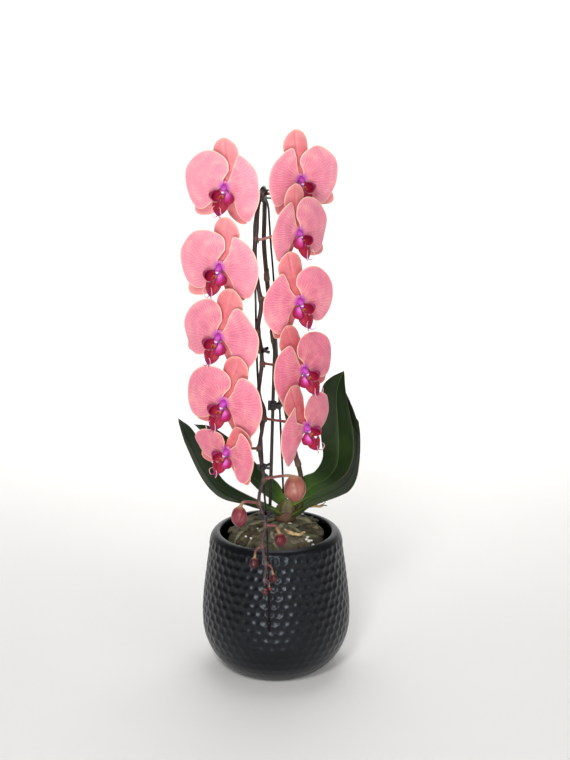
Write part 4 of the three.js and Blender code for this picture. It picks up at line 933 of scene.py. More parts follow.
# ------------------------------------------------------------------ crown
def build_crown():
    part = Part()
    # body of the sheaths: one closed shell, folded round and ridged along its height
    c = A([11, 3, 179])
    rows, seg = 40, 64
    z = np.linspace(-15.3, 15.3, rows)
    ang = np.arange(seg) / seg * 2 * np.pi
    pts = []
    for i, zz in enumerate(z):
        k = math.sqrt(max(0.0, 1 - (zz / 15.6) ** 2))
        k = k ** 0.85
        fold = 1 + 0.06 * np.cos(2 * ang + 0.4) + 0.05 * np.sin(5 * ang + zz * 0.12) + 0.03 * np.sin(11 * ang)
        ledge = 1 + 0.05 * math.sin(zz * 0.75 + 0.5)
        pts.append(np.stack([c[0] + 0.15 * zz + 10.6 * k * ledge * fold * np.cos(ang), c[1] + 7.8 * k * ledge * fold * np.sin(ang), np.full(seg, c[2] + zz)], -1))
    v = np.vstack(pts)
    f = grid_faces(rows, seg, True)
    a, b = len(v), len(v) + 1
    v = np.vstack([v, [c[0] - 2.3, c[1], c[2] - 15.5], [c[0] + 2.3, c[1], c[2] + 15.5]])
    for j in range(seg):
        jn = (j + 1) % seg
        f.append((a, jn, j))
        f.append((b, (rows - 1) * seg + j, (rows - 1) * seg + jn))
    hh = smooth01(v[:, 2], 166, 192)[:, None]
    tone = fbm(v, 0.12, 3, 8.0)[:, None]
    col = lin3('#5a3a30') * (1 - hh) + lin3('#5f5a34') * hh
    col = col * (1 + 0.4 * tone)
    part.add(v, f, col=np.clip(col, 0.01, 1))
    # torn brown sheaths round the foot of the crown
    for j, (a0, a1, z0, z1, grow) in enumerate([(-2.6, -0.4, 166, 181, 1.12), (-1.2, 1.1, 165, 186, 1.18), (1.4, 3.6, 166, 184, 1.14), (2.9, 4.2, 167, 190, 1.08)]):
        nu, nv = 26, 16
        U = np.linspace(a0, a1, nu)
        rowsv = []
        for k2 in range(nv):
            t = k2 / (nv - 1)
            zz = z0 + (z1 - z0) * t * (1 - 0.55 * np.abs((U - (a0 + a1) / 2) / ((a1 - a0) / 2)) ** 2)
            kk = np.sqrt(np.clip(1 - ((zz - 179) / 17.5) ** 2, 0.05, 1))
            g = grow + 0.05 * t
            rowsv.append(np.stack([11 + 0.15 * (zz - 179) + 10.6 * g * kk * np.cos(U), 3 + 7.8 * g * kk * np.sin(U), zz], -1))
        V0 = np.vstack(rowsv)
        cen = A([11, 3, 0])
        outn = unit((V0 - cen) * A([1, 1.6, 0]))
        V1 = V0 + outn * 0.7
        v = np.vstack([V0, V1])
        f = [tuple(reversed(q)) for q in grid_faces(nv, nu)] + grid_faces(nv, nu, off=nv * nu)
        rim = [i for i in range(nu)] + [r * nu + nu - 1 for r in range(1, nv)] + [(nv - 1) * nu + i for i in range(nu - 2, -1, -1)] + [r * nu for r in range(nv - 2, 0, -1)]
        for q in range(len(rim)):
            a, b = rim[q], rim[(q + 1) % len(rim)]
            f.append((a, b, b + nv * nu, a + nv * nu))
        tone = fbm(v, 0.15, 3, 12.0 + j)[:, None]
        c0 = lin3(['#6a4a3c', '#5c4a35', '#6d5a3a', '#55603a'][j])
        part.add(v, f, col=np.clip(c0 * (1 + 0.45 * tone), 0.01, 1))
    part.object("crown_sheaths", [CROWN], "crown", "crown")


build_crown()


# ----------------------------------------------------------------- leaves
def build_leaf(name, near, far, sag, tone):
    along, across = 96, 22
    ti = np.linspace(0, 1, along + 1)
    t = 0.998 * (1 - (1 - ti) ** 1.25 * 1.0)
    a, b = spline(near, t), spline(far, t)
    vv = np.linspace(0, 1, across + 1)
    vv = 0.5 - 0.5 * np.cos(np.pi * vv) if False else vv
    G = a[:, None] * (1 - vv)[None, :, None] + b[:, None] * vv[None, :, None]
    mid = 0.5 * (a + b)
    T = unit(np.gradient(mid, axis=0))
    side = unit(b - a + 1e-9 * T)
    for i in range(along - 4, along + 1):
        side[i] = side[along - 4]
    N = unit(np.cross(T, side))
    width = np.linalg.norm(b - a, axis=1)
    v = 2 * vv - 1
    down = np.where(N[:, 2] > 0, -1.0, 1.0)
    # keep one sense along the leaf
    flip = np.sign((down[:, None] * N * (down[40] * N[40])[None]).sum(1))
    flip[flip == 0] = 1
    drop = sag * np.minimum(1, width / 30)[:, None] * (1 - np.abs(v)[None] ** 1.75)
    groove = 0.9 * np.exp(-(v[None] * width[:, None] / 2 / 1.6) ** 2) * np.minimum(1, width / 24)[:, None]
    rng = np.random.default_rng(int(tone * 1000))
    ph = rng.uniform(0, 6.28, 4)
    wave = 0.9 * np.sin(ti * 13 + ph[0])[:, None] * (v[None] ** 3) * smooth01(ti, 0.1, 0.4)[:, None]
    nd = N * down[:, None]
    mids = G + nd[:, None] * (drop + groove + wave)[..., None]
    thick = (1.15 + 1.5 * (1 - np.abs(v)[None] ** 2) * (0.55 + 0.45 * (1 - ti)[:, None])) * np.minimum(1, width / 8 + 0.15)[:, None]
    thick = thick * (0.9 + 1.2 * (1 - smooth01(ti, 0, 0.22))[:, None])
    edge = np.sqrt(np.clip(1 - np.clip((np.abs(v) - 0.93) / 0.07, 0, 1) ** 2, 0.02, 1))[None]
    half = 0.5 * thick * edge
    dT = np.gradient(mids, axis=0)
    dS = np.gradient(mids, axis=1)
    nn = unit(np.cross(dT, dS))
    ref = (nn * nd[:, None]).sum(-1, keepdims=True)
    nn = np.where(ref < 0, -nn, nn)                         # points to the sagging side (below)
    lo = mids + nn * half[..., None]
    hi = mids - nn * half[..., None]
    cols = across + 1
    n = cols * (along + 1)
    V = np.vstack([hi.reshape(-1, 3), lo.reshape(-1, 3)])
    f1 = grid_faces(along + 1, cols)
    f2 = [tuple(reversed(q)) for q in grid_faces(along + 1, cols, off=n)]
    rim = [j for j in range(cols)] + [i * cols + across for i in range(1, along + 1)] + [along * cols + j for j in range(across - 1, -1, -1)] + [i * cols for i in range(along - 1, 0, -1)]
    f3 = [(rim[(q + 1) % len(rim)], rim[q], rim[q] + n, rim[(q + 1) % len(rim)] + n) for q in range(len(rim))]
    faces = f1 + f2 + f3
    # faces outwards
    c = V[list(faces[len(f1) // 2 + 3])]
    nrm = np.cross(c[1] - c[0], c[2] - c[0])
    i0 = faces[len(f1) // 2 + 3][0]
    if np.dot(nrm, V[i0] - V[i0 + n]) < 0:
        faces = [tuple(reversed(q)) for q in faces]
    la = np.stack([np.broadcast_to(ti[:, None], half.shape), np.broadcast_to(v[None], half.shape), np.broadcast_to(width[:, None] / 2, half.shape)], -1).reshape(-1, 3)
    dull = 2.0 if name == 'leaf_right_lower' else 1.0        # an older leaf, dustier than the rest
    lb0 = np.tile(A([1.0, tone, dull]), (n, 1))
    lb1 = np.tile(A([0.0, tone, dull]), (n, 1))
    Part().add(V, faces, la=np.vstack([la, la]), lb=np.vstack([lb0, lb1])).object(name + "_blade", [LEAF], name, "leaf")


for i, (name, d) in enumerate(LEAVES.items()):
    build_leaf(name, d['near'], d['far'], d['sag'], 0.13 + 0.21 * i)


# ------------------------------------------------------ spike, wire and stake
SPIKE = even(centripetal(SPIKE_PATH, 16), 1.0)
SPIKE_S = np.concatenate([[0], np.cumsum(np.linalg.norm(np.diff(SPIKE, axis=0), axis=1))])
SPIKE_T = unit(np.gradient(SPIKE, axis=0))


def on_spike(point):
    return int(np.argmin(np.linalg.norm(SPIKE - A(point), axis=1)))


NODES = sorted(set([on_spike(f['node']) for f in FLOWERS] + [on_spike(b['node']) for b in BUDS if b.get('node')]))
SHEATHS = [on_spike(p) for p in ((24.6, 4.5, 234), (10.1, 2, 303.6), (-2.0, -3, 377), (-9, -10, 446))]


def spike_radius():
    s = SPIKE_S
    L = s[-1]
    r = np.interp(s, [0, 20, 200, 420, 560, 680, 740, L - 25, L], [3.1, 2.75, 2.5, 2.35, 2.15, 1.9, 1.7, 1.35, 0.8])
    for i in NODES:
        r += 0.55 * np.exp(-((s - s[i]) / 3.0) ** 2)
    for i in SHEATHS:
        r += 0.4 * np.exp(-((s - s[i]) / 3.5) ** 2)
    return r


def build_spike():
    part = Part()
    r = spike_radius()
    sec = lambda a, i, s: 1 + 0.025 * np.sin(3 * a + s * 0.05) + 0.02 * np.sin(7 * a + s * 0.11)
    v, f, info = tube(SPIKE, r, 20, section=sec)
    s = info[:, 0]
    L = SPIKE_S[-1]
    rise = lin3('#3e3023')
    over = lin3('#362b25')
    fall = lin3('#312425')
    tip = lin3('#4c3034')
    k1 = smooth01(s, 250, 400)[:, None]
    k2 = smooth01(s, 440, 560)[:, None]
    k3 = smooth01(s, L - 170, L - 20)[:, None]
    col = rise * (1 - k1) + over * k1
    col = col * (1 - k2) + fall * k2
    col = col * (1 - k3) + tip * k3
    green = (1 - smooth01(s, 0, 60))[:, None]
    col = col * (1 - 0.6 * green) + lin3('#55602f') * 0.6 * green
    near = np.zeros(len(s))
    for i in NODES + SHEATHS:
        near = np.maximum(near, np.exp(-((s - SPIKE_S[i]) / 2.2) ** 2))
    col = col * (1 - 0.35 * near[:, None]) + lin3('#8a6f62') * 0.35 * near[:, None]
    col = col * (1 + 0.3 * fbm(v * A([1, 1, 0.3]), 0.25, 3, 4.0)[:, None])
    part.add(v, f, col=np.clip(col, 0.01, 1))
    # bracts: small scales that clasp the stem below each stalk, and longer sheaths on the bare part
    T, N, B = frames(SPIKE)
    for q, i in enumerate(NODES + SHEATHS):
        sheath = i in SHEATHS
        length = 15.0 if sheath else 6.0
        w0 = 2.9 if sheath else 1.35
        # the pointing side: towards the stalk, or any side for a sheath
        P0 = SPIKE[i]
        tgt = None
        for o in FLOWERS:
            if on_spike(o['node']) == i:
                tgt = A(o['at'])
        for o in BUDS:
            if o.get('node') and on_spike(o['node']) == i:
                tgt = A(o['up'])
        d = (tgt - P0) if tgt is not None else A([0.6 if q % 2 else -0.7, -0.7, 0.2])
        d = unit(d - np.dot(d, T[i]) * T[i])
        e = np.cross(T[i], d)
        nu, nv = 13, 14
        rows = []
        for b in range(nv):
            t = b / (nv - 1)
            # sheaths grow towards the tip of the stem; bracts stand just under the stalk
            j = int(np.clip(i - (2 if not sheath else 1) + t * length, 0, len(SPIKE) - 1))
            open_w = w0 * (1 - t ** 1.6) + 0.04
            spread = np.linspace(-1, 1, nu) * open_w
            rr = r[j] + 0.25 + 0.9 * t ** 2 * (1.0 if not sheath else 0.4)
            cj = SPIKE[j]
            rows.append(cj + d * (rr * np.cos(spread))[:, None] + e * (rr * np.sin(spread))[:, None])
        V0 = A(rows).reshape(-1, 3)
        cc = SPIKE[[int(np.clip(i - (2 if not sheath else 1) + (b / (nv - 1)) * length, 0, len(SPIKE) - 1)) for b in range(nv) for _ in range(nu)]]
        V1 = V0 + unit(V0 - cc) * 0.35
        n = nu * nv
        f = [tuple(reversed(z)) for z in grid_faces(nv, nu)] + grid_faces(nv, nu, off=n)
        rim = [k for k in range(nu)] + [k * nu + nu - 1 for k in range(1, nv)] + [(nv - 1) * nu + k for k in range(nu - 2, -1, -1)] + [k * nu for k in range(nv - 2, 0, -1)]
        f += [(rim[k], rim[(k + 1) % len(rim)], rim[(k + 1) % len(rim)] + n, rim[k] + n) for k in range(len(rim))]
        V = np.vstack([V0, V1])
        tt = np.tile(np.repeat(np.linspace(0, 1, nv), nu), 2)[:, None]
        c = lin3('#6a5347') * (1 - tt) + lin3('#4a3228') * tt
        part.add(V, f, col=np.clip(c * (1 + 0.3 * fbm(V, 0.4, 2, q + 1.0)[:, None]), 0.01, 1))
    part.object("spike_stem", [STEM], "flower_spike", "spike")


build_spike()


def build_wire():
    p = even(centripetal(WIRE_PATH, 16), 1.5)
    v, f, info = tube(p, 1.15, 12)
    Part().add(v, f).object("wire_rod", [WIRE], "support_wire", "coated_wire")
    a, b = A(END_CAP[0]), A(END_CAP[1])
    d = unit(b - a)
    L = np.linalg.norm(b - a)
    t = A([0, 0.2, 0.6, 1.1, 3.0, 3.2, 3.5, 3.7, 8, L - 2.2, L - 1.3, L - 0.6, L - 0.1])
    rad = A([1.3, 1.9, 2.25, 2.35, 2.35, 2.5, 2.5, 2.35, 2.4, 2.5, 2.2, 1.6, 0.6])
    v, f, info = tube(a + d * t[:, None], rad, 24, caps=(False, False))
    Part().add(v, f).object("wire_end_sleeve", [CAP], "wire_end_cap", "black_rubber")
    tail = p[::-1][:24]
    v, f, info = tube(tail, np.interp(np.linspace(0, 1, len(tail)), [0, 0.08, 0.85, 1], [1.7, 1.95, 1.55, 1.2]), 16)
    Part().add(v, f).object("wire_tail_sleeve", [CAP], "support_wire", "black_rubber")
    a, b = A(STAKE[0]), A(STAKE[1])
    n = 160
    q = np.linspace(0, 1, n)[:, None]
    p = a + (b - a) * q
    s = q[:, 0] * np.linalg.norm(b - a)
    rad = 1.85 + 0.05 * np.sin(s * 0.07)
    for c in (38.0, 118.0, 205.0):
        rad += 0.28 * np.exp(-((s - c) / 1.2) ** 2) - 0.12 * np.exp(-((s - c - 2.2) / 0.8) ** 2)
    sec = lambda an, i, ss: 1 + 0.03 * np.cos(2 * an) + 0.012 * np.sin(9 * an)
    v, f, info = tube(p, rad, 20, section=sec)
    Part().add(v, f).object("stake_rod", [STAKEM], "stake", "stake")


build_wire()


# ------------------------------------------------------------------- clips
def build_clip(name, at, reach, length, normal, turn):
    part = Part()
    z = unit(normal)
    x = A([1, 0, 0]) - z[0] * z
    x = unit(x)
    y = np.cross(z, x)
    ct, st = math.cos(turn), math.sin(turn)
    x, y = x * ct + y * st, y * ct - x * st
    c = A(at)
    seg = 44
    wall = 1.0
    # jaws: an open ring round both stems, thicker where it hinges
    a = np.linspace(math.radians(26), math.radians(334), seg)
    rx, ry = reach[0] - 0.2, reach[1] - 0.2
    prof = [(-length / 2, 0.25), (-length / 2 + 0.35, 0), (length / 2 - 0.35, 0), (length / 2, 0.25)]
    rings = []
    for ang in a:
        w = wall + 0.5 * math.exp(-((ang - math.pi) / 0.5) ** 2)
        outp = A([rx * math.cos(ang), ry * math.sin(ang)])
        nrm = unit(A([math.cos(ang) / rx, math.sin(ang) / ry]))
        ring = []
        for h, cut in prof:
            ring.append((outp - nrm * cut, h))
        for h, cut in reversed(prof):
            ring.append((outp - nrm * (w - cut), h))
        rings.append([c + x * p[0] + y * p[1] + z * h for p, h in ring])
    R = A(rings)
    m = R.shape[1]
    v = R.reshape(-1, 3)
    f = grid_faces(seg, m, True)
    f.append(tuple(range(m - 1, -1, -1)))
    f.append(tuple((seg - 1) * m + k for k in range(m)))
    part.add(v, f)
    # two finger tabs past the opening, each a tapered paddle
    for s, tilt in ((1, 0.5), (-1, 0.34)):
        base = c + x * (rx * math.cos(math.radians(30)) - 0.4) + y * s * ry * math.sin(math.radians(30))
        d = unit(x * 1.0 + y * s * tilt * 0.3 + z * (0.25 * s))
        wid = unit(z - np.dot(z, d) * d)
        nrm = np.cross(d, wid)
        L = 6.2
        out = []
        for t, hw, th in ((0, 0.42, 0.6), (0.25, 0.36, 0.55), (0.6, 0.4, 0.5), (0.85, 0.44, 0.5), (1.0, 0.3, 0.35)):
            hwm = hw * length * 0.8
            pc = base + d * L * t
            out.append([pc + wid * hwm * u + nrm * th * w2 for u, w2 in ((-1, -0.6), (-0.85, -1), (0.85, -1), (1, -0.6), (1, 0.6), (0.85, 1), (-0.85, 1), (-1, 0.6))])
        O = A(out)
        v = O.reshape(-1, 3)
        f = grid_faces(len(out), 8, True)
        f.append(tuple(range(7, -1, -1)))
        f.append(tuple((len(out) - 1) * 8 + k for k in range(8)))
        part.add(v, f)
    # hinge barrel on the closed side
    hb = c - x * (rx - 0.1)
    v, f, info = tube([hb - z * (length / 2 + 0.3), hb - z * length * 0.2, hb + z * length * 0.2, hb + z * (length / 2 + 0.3)], 1.15, 14, up=tuple(x))
    part.add(v, f)
    ob = part.object(name + "_jaws", [CLIP], name, "clip_plastic")
    ob.data.polygons.foreach_set("use_smooth", [False] * len(ob.data.polygons))
    return ob


for name, d in CLIPS.items():
    build_clip(name, **d)


# ----------------------------------------------------------------- flowers
PETAL_UPPER = [(.3, 1.2), (1.4, 8), (.6, 16), (1.2, 24), (5, 30.5), (12, 33.5), (22, 31), (31.5, 24), (38, 14.5), (40.5, 5)]
PETAL_LOWER = [(.3, -.3), (5.5, -3.5), (9.5, -9.5), (14, -17), (20.5, -23.5), (27, -25.5), (33, -22.5), (37.5, -14.5), (40, -5), (40.5, 5)]
SIDE_LOBE_RIM = [(4.8, -1.6, 6.8), (6.4, -2.4, 10.8), (6.4, -7, 13.6), (6.2, -12.2, 12.4), (5.2, -15.4, 8.8), (3, -14, 6.4), (0.9, -10.2, 7.4), (0.9, -7.2, 4.6), (3.5, -3.4, 3.4)]
SIDE_LOBE_BULGE = (8.0, -0.3, -2.2)
PETAL_AXIS = math.radians(15.5)
DORSAL_EDGE = [(0, -5), (5, -8), (14, -10.8), (24, -13.6), (32, -13.6), (39, -9.8), (43, -4.3), (44, 0)]
LATERAL_EDGE = [(0, -2), (5, -5), (13, -9.5), (22, -12), (30, -11), (37, -7), (41, -3), (42, 0)]


def turn(yaw, nod, roll):
    B = A([[1, 0, 0], [0, 0, -1], [0, 1, 0]])
    r = math.radians(-roll)
    Rz = A([[math.cos(r), -math.sin(r), 0], [math.sin(r), math.cos(r), 0], [0, 0, 1]])
    p = math.radians(nod)
    Rx = A([[1, 0, 0], [0, math.cos(p), -math.sin(p)], [0, math.sin(p), math.cos(p)]])
    y = math.radians(yaw)
    Ry = A([[math.cos(y), 0, math.sin(y)], [0, 1, 0], [-math.sin(y), 0, math.cos(y)]])
    return B @ Ry @ Rx @ Rz


def push_inner(p, reach):
    """Moves the edge nearest the column inwards (or outwards, when reach is negative)."""
    x, y = p[:, 0], p[:, 1]
    above = np.exp(-(x / 9) ** 2) * np.clip((y - 4) / 12, 0, 1) * (1 - 0.5 * np.clip((y - 26) / 10, 0, 1))
    below = 0.75 * np.exp(-(x / 16) ** 2) * np.clip((-y - 3) / 8, 0, 1)
    return np.stack([x - reach * (above + below), y], -1)


def petal_shape(spec, side, rng):
    """Outline, centre and mid surface of one petal in the flower's own frame."""
    ang, length, width, bend, reach = spec
    c, s = math.cos(PETAL_AXIS), math.sin(PETAL_AXIS)
    r = PETAL_AXIS + math.radians(ang)
    ctrl = list(PETAL_UPPER) + list(reversed(PETAL_LOWER))[1:]
    raw = push_inner(spline(ctrl, np.linspace(0, 1, 109)[:-1]), reach)

    def local(p):
        p = A(p)
        return np.stack([(p[..., 0] * c + p[..., 1] * s) * length, (-p[..., 0] * s + p[..., 1] * c) * width], -1)

    out_ab = local(raw)
    # slight frill of the outline
    tt = np.linspace(0, 2 * np.pi, len(out_ab), endpoint=False)
    ph = rng.uniform(0, 6.28, 6)
    cen = local([(18, 4)])[0]
    fr = 1 + 0.012 * np.sin(3 * tt + ph[0]) + 0.008 * np.sin(7 * tt + ph[1])
    fr = 1 + (fr - 1) * smooth01(np.hypot(*(out_ab).T), 6, 18)
    out_ab = cen + (out_ab - cen) * fr[:, None]

    def place(ab):
        a, b = ab[:, 0], ab[:, 1]
        X = side * (a * math.cos(r) - b * math.sin(r) + 1)
        Y = a * math.sin(r) + b * math.cos(r) + 1
        q, w = a / 40, b / 30
        z = 0.8 + bend * q - (bend + 1.5) * q * q - 2.2 * w * w
        d = ab - cen
        th = np.arctan2(d[:, 1], d[:, 0])
        k = np.hypot(d[:, 0] / 22, d[:, 1] / 27)
        z += (k ** 3) * (0.75 * np.sin(3 * th + ph[2]) + 0.45 * np.sin(5 * th + ph[3])) * smooth01(np.hypot(a, b), 5, 20)
        z -= 0.7 * np.exp(-((b - 0.02 * a) / 2.6) ** 2) * smooth01(a, 2, 10) * (1 - smooth01(a, 22, 38))
        z += 0.25 * np.sin(np.arctan2(b, a + 6) * 9 + ph[4]) * smooth01(np.hypot(a, b), 8, 20)
        return np.stack([X, Y, z], -1)

    return out_ab, cen, place


def sepal_shape(edge, base, start, spec, dorsal, rng):
    ang, length = spec
    r = math.radians(base + ang)
    ctrl = list(edge) + [(a, -b) for a, b in reversed(edge[:-1])]
    out = spline(ctrl, np.linspace(0, 1, 85)[:-1])
    out = out * A([length, 1])
    ph = rng.uniform(0, 6.28, 4)
    cen = A([24.0, 0.0])

    def place(ab):
        a, b = ab[:, 0], ab[:, 1]
        X = start[0] + a * math.cos(r) - b * math.sin(r)
        Y = start[1] + a * math.sin(r) + b * math.cos(r)
        q, w = a / 42, b / 13
        z = (-2.6 - 9 * q + 4 * q * q if dorsal else -2.6 - 6 * q + 2 * q * q) - 1.6 * w * w
        z = z - 0.5 * np.exp(-(b / 1.6) ** 2) * smooth01(a, 3, 10)
        z = z + 0.5 * np.sin(a * 0.16 + ph[0]) * w ** 3 + 0.35 * np.sin(a * 0.3 + ph[1]) * np.abs(w) ** 3
        return np.stack([X, Y, z], -1)

    return out, cen, place


def build_flower(f, seed):
    rng = np.random.default_rng(900 + seed)
    R = turn(f['yaw'], f['nod'], f['roll'])
    size = f['size']
    at = A(f['at'])
    W = lambda p: at + (A(p) * size) @ R.T
    # lower flowers and right-hand flowers get a higher tone, with a small random spread; their darker colour is painted
    # shade
    tone = {'left_1': 0.10, 'left_2': 0.22, 'left_3': 0.45, 'left_4': 0.60, 'left_5': 0.92,
            'right_1': 0.30, 'right_2': 0.48, 'right_3': 0.62, 'right_4': 0.98, 'right_5': 0.95}[f['name']] + 0.04 * rng.uniform(-1, 1)
    node = 'flower_' + f['name']

    # petals
    part = Part()
    for spec, side in zip(f['petals'], (-1, 1)):
        out, cen, place = petal_shape(spec, side, rng)
        thick = lambda ab, k: 1.15 - 0.6 * k ** 2 + 0.5 * np.exp(-(np.hypot(ab[:, 0], ab[:, 1]) / 6) ** 2)
        v, fc, ab, ring, front = blade_mesh(out, cen, place, thick)
        if side < 0:
            fc = [tuple(reversed(q)) for q in fc]
            # the frame is mirrored, so the front is the other face
            front = 1 - front
        rad = np.hypot(ab[:, 0] + 4, ab[:, 1] + 1)
        phi = np.arctan2(ab[:, 1] + 1, ab[:, 0] + 4)
        e = edge_distance(ab, out)
        pa = np.stack([rad, phi, e], 1)
        pb = np.stack([np.full(len(v), tone), front, ring], 1)
        # orient faces by the sign of the closed volume
        V = W(v)
        part.add(V, outward(V, fc), pa=pa, pb=pb)
    part.object(node + "_petal_blades", [PETAL], node + "_petals", "petal")

    # sepals
    part = Part()
    for edge, base, start, spec, dorsal in ((DORSAL_EDGE, 90, (0, 2), f['dorsal'], True), (LATERAL_EDGE, 225, (-1.5, -1.5), f['laterals'][0], False),
                                            (LATERAL_EDGE, -45, (1.5, -1.5), f['laterals'][1], False)):
        out, cen, place = sepal_shape(edge, base, start, spec, dorsal, rng)
        thick = lambda ab, k: 1.2 - 0.6 * k ** 2 + 0.5 * np.exp(-(ab[:, 0] / 6) ** 2)
        v, fc, ab, ring, front = blade_mesh(out, cen, place, thick)
        rad = np.hypot(ab[:, 0] + 14, ab[:, 1]) - 10
        phi = np.arctan2(ab[:, 1], ab[:, 0] + 14)
        pa = np.stack([rad, phi, edge_distance(ab, out)], 1)
        pb = np.stack([np.full(len(v), tone), front, ring], 1)
        V = W(v)
        part.add(V, outward(V, fc), pa=pa, pb=pb)
    part.object(node + "_sepal_blades", [SEPAL], node + "_sepals", "sepal")

    # stalk, from the back of the flower to its node on the spike
    back = W((0, -0.5, -5.6))
    T = SPIKE_T[on_spike(f['node'])]
    out = at - A(f['node'])
    out[2] *= 0.4
    out = unit(out - np.dot(out, T) * T)
    root = A(f['node']) + out * 1.2
    knee = A(f['node']) + out * 12
    c1 = at + (A([0, -0.5, -5.6]) * size + A([0, 0, -11])) @ R.T
    t = np.linspace(0, 1, 60)[:, None]
    start = W((0, -0.2, -2.6))
    p = (1 - t) ** 3 * start + 3 * (1 - t) ** 2 * t * c1 + 3 * (1 - t) * t * t * knee + t ** 3 * root
    p = even(p, 0.9)
    k = np.linspace(0, 1, len(p))
    rad = np.interp(k, [0, 0.06, 0.16, 0.3, 0.55, 0.9, 1], [3.3, 2.7, 2.0, 1.75, 1.35, 1.3, 1.75])
    sec = lambda a, i, s: 1 + 0.09 * np.cos(6 * a + s * 0.02) * np.exp(-s / 22) + 0.03 * np.sin(4 * a + s * 0.1)
    v, fc, info = tube(p, rad, 24, section=sec)
    kk = np.clip(info[:, 0] / info[:, 0].max(), 0, 1)[:, None]
    col = lin3('#cf8078') * (1 - smooth01(kk, 0.0, 0.22)) + lin3('#6c3b3c') * smooth01(kk, 0.0, 0.22)
    far = lin3('#6b3f3a')
    if f['name'] == 'right_2':
        far = lin3('#9a6a62')
    col = col * (1 - smooth01(kk, 0.35, 0.9)) + far * smooth01(kk, 0.35, 0.9)
    col = col * (1 + 0.25 * fbm(v, 0.3, 2, seed + 1.0)[:, None])
    Part().add(v, fc, col=np.clip(col, 0.01, 1)).object(node + "_stalk", [STEM], node + "_sepals", "spike")

    # column: a short rounded body that widens into a hood, with the pale cap at its end
    part = Part()
    z = A([-0.7, 0.1, 0.9, 1.7, 2.5, 3.3, 4.1, 4.8, 5.3, 5.7, 5.9, 6.0])
    rx = A([3.1, 3.35, 3.45, 3.45, 3.35, 3.15, 2.8, 2.35, 1.85, 1.25, 0.8, 0.4])
    ang = np.arange(28) / 28 * 2 * np.pi
    V = []
    for zz, r in zip(z, rx):
        hollow = 0.3 * math.exp(-((zz - 4.2) / 1.0) ** 2)
        rr = r * (1 - hollow * np.exp(-((np.angle(np.exp(1j * (ang + np.pi / 2)))) / 0.55) ** 2))
        V.append(np.stack([rr * np.cos(ang), rr * 0.92 * np.sin(ang) + 0.9 - 0.42 * zz, np.full(28, zz)], -1))
    v = np.vstack(V)
    fc = grid_faces(len(z), 28, True)
    v = np.vstack([v, [0, 1.2, -0.8], [0, -1.63, 6.08]])
    for j in range(28):
        jn = (j + 1) % 28
        fc.append((len(v) - 2, jn, j))
        fc.append((len(v) - 1, (len(z) - 1) * 28 + j, (len(z) - 1) * 28 + jn))
    zz = v[:, 2:3]
    under = smooth01(-(v[:, 1:2] - 0.9 + 0.42 * zz), 0.8, 2.6)
    col = lin3('#a82c96') * (1 - smooth01(zz, 1.5, 5.5)) + lin3('#b846ac') * smooth01(zz, 1.5, 5.5)
    col = col * (1 - 0.6 * under) + lin3('#d58fd8') * 0.6 * under
    Vw = W(v)
    part.add(Vw, outward(Vw, fc), col=np.clip(col, 0.01, 1))
    iv, jf = ICO3
    cap = iv * A([1.75, 1.4, 1.3])
    beak = np.exp(-((iv[:, 1] + 0.7) ** 2 + iv[:, 0] ** 2) / 0.25) * (iv[:, 2] > 0)
    cap[:, 2] += 0.5 * beak
    cap[:, 0] *= 1 - 0.14 * np.exp(-(iv[:, 0] / 0.2) ** 2) * (iv[:, 1] < 0)
    cap += A([0, -3.4, 4.7])
    cc = lin3('#f2e2f3') * (1 - smooth01(iv[:, 1:2], 0.0, 0.6)) + lin3('#c878cf') * smooth01(iv[:, 1:2], 0.0, 0.6)
    Vw = W(cap)
    part.add(Vw, outward(Vw, jf), col=cc)
    # nape behind the column, and the foot below it that runs to the lip
    nape = iv * A([3.3, 3.2, 1.3])
    nape += A([0, 3.6, -0.9])
    Vw = W(nape)
    part.add(Vw, outward(Vw, jf), col=np.broadcast_to(lin3('#d070a0'), (len(nape), 3)))
    # the half-open flowers get a larger disc behind the column, coloured darker as painted shade between their petals
    late = f['name'].endswith('5')
    disc = iv * (A([8.2, 8.6, 1.0]) if late else A([6.4, 6.0, 0.9]))
    disc += A([0, -1.6 if late else 0.2, -2.3])
    Vw = W(disc)
    part.add(Vw, outward(Vw, jf), col=np.broadcast_to(lin3('#c9586f' if late else '#de7f92'), (len(disc), 3)))
    p = even(centripetal([(0, 0.2, -0.4), (0, -2.4, 0.6), (0, -4.6, 1.5), (0, -6.3, 2.6)], 8), 0.5)
    k = np.linspace(0, 1, len(p))
    v, fc, info = tube(W(p), np.interp(k, [0, .3, .8, 1], [2.6, 2.9, 2.5, 1.6]) * size, 18)
    part.add(v, fc, col=np.broadcast_to(lin3('#bb66b8'), (len(v), 3)))
    part.object(node + "_column", [COLUMN], node + "_petals", "lip")

    # lip: turned about the flower's upright axis
    lt = math.radians(f['lipTurn'])
    swing = A([[math.cos(lt), 0, math.sin(lt)], [0, 1, 0], [-math.sin(lt), 0, math.cos(lt)]])
    WL = lambda p: W(A(p) @ swing.T)
    part = Part()
    half = [(1.0, -6.8), (2.4, -7.6), (4.6, -9.2), (6.8, -11.6), (8.1, -14.2), (7.9, -17.0), (6.6, -19.8), (4.6, -22.2), (2.4, -24.0), (0.8, -25.0)]
    notched = [(1.0, -6.8), (1.3, -8.4), (1.6, -10.4), (2.2, -12.2), (4.2, -13.5), (8.2, -14.3), (8.3, -16.4), (7.0, -19.6), (4.8, -22.2), (2.4, -24.0), (0.8, -25.0)]
    inn = -1 if f['name'].startswith('left') else 1          # the side that the flower turns from
    right, left = (half, notched) if inn < 0 else (notched, half)
    ctrl = list(right) + [(-x, y) for x, y in reversed(left)]
    outl = ring_spline(ctrl, 112)

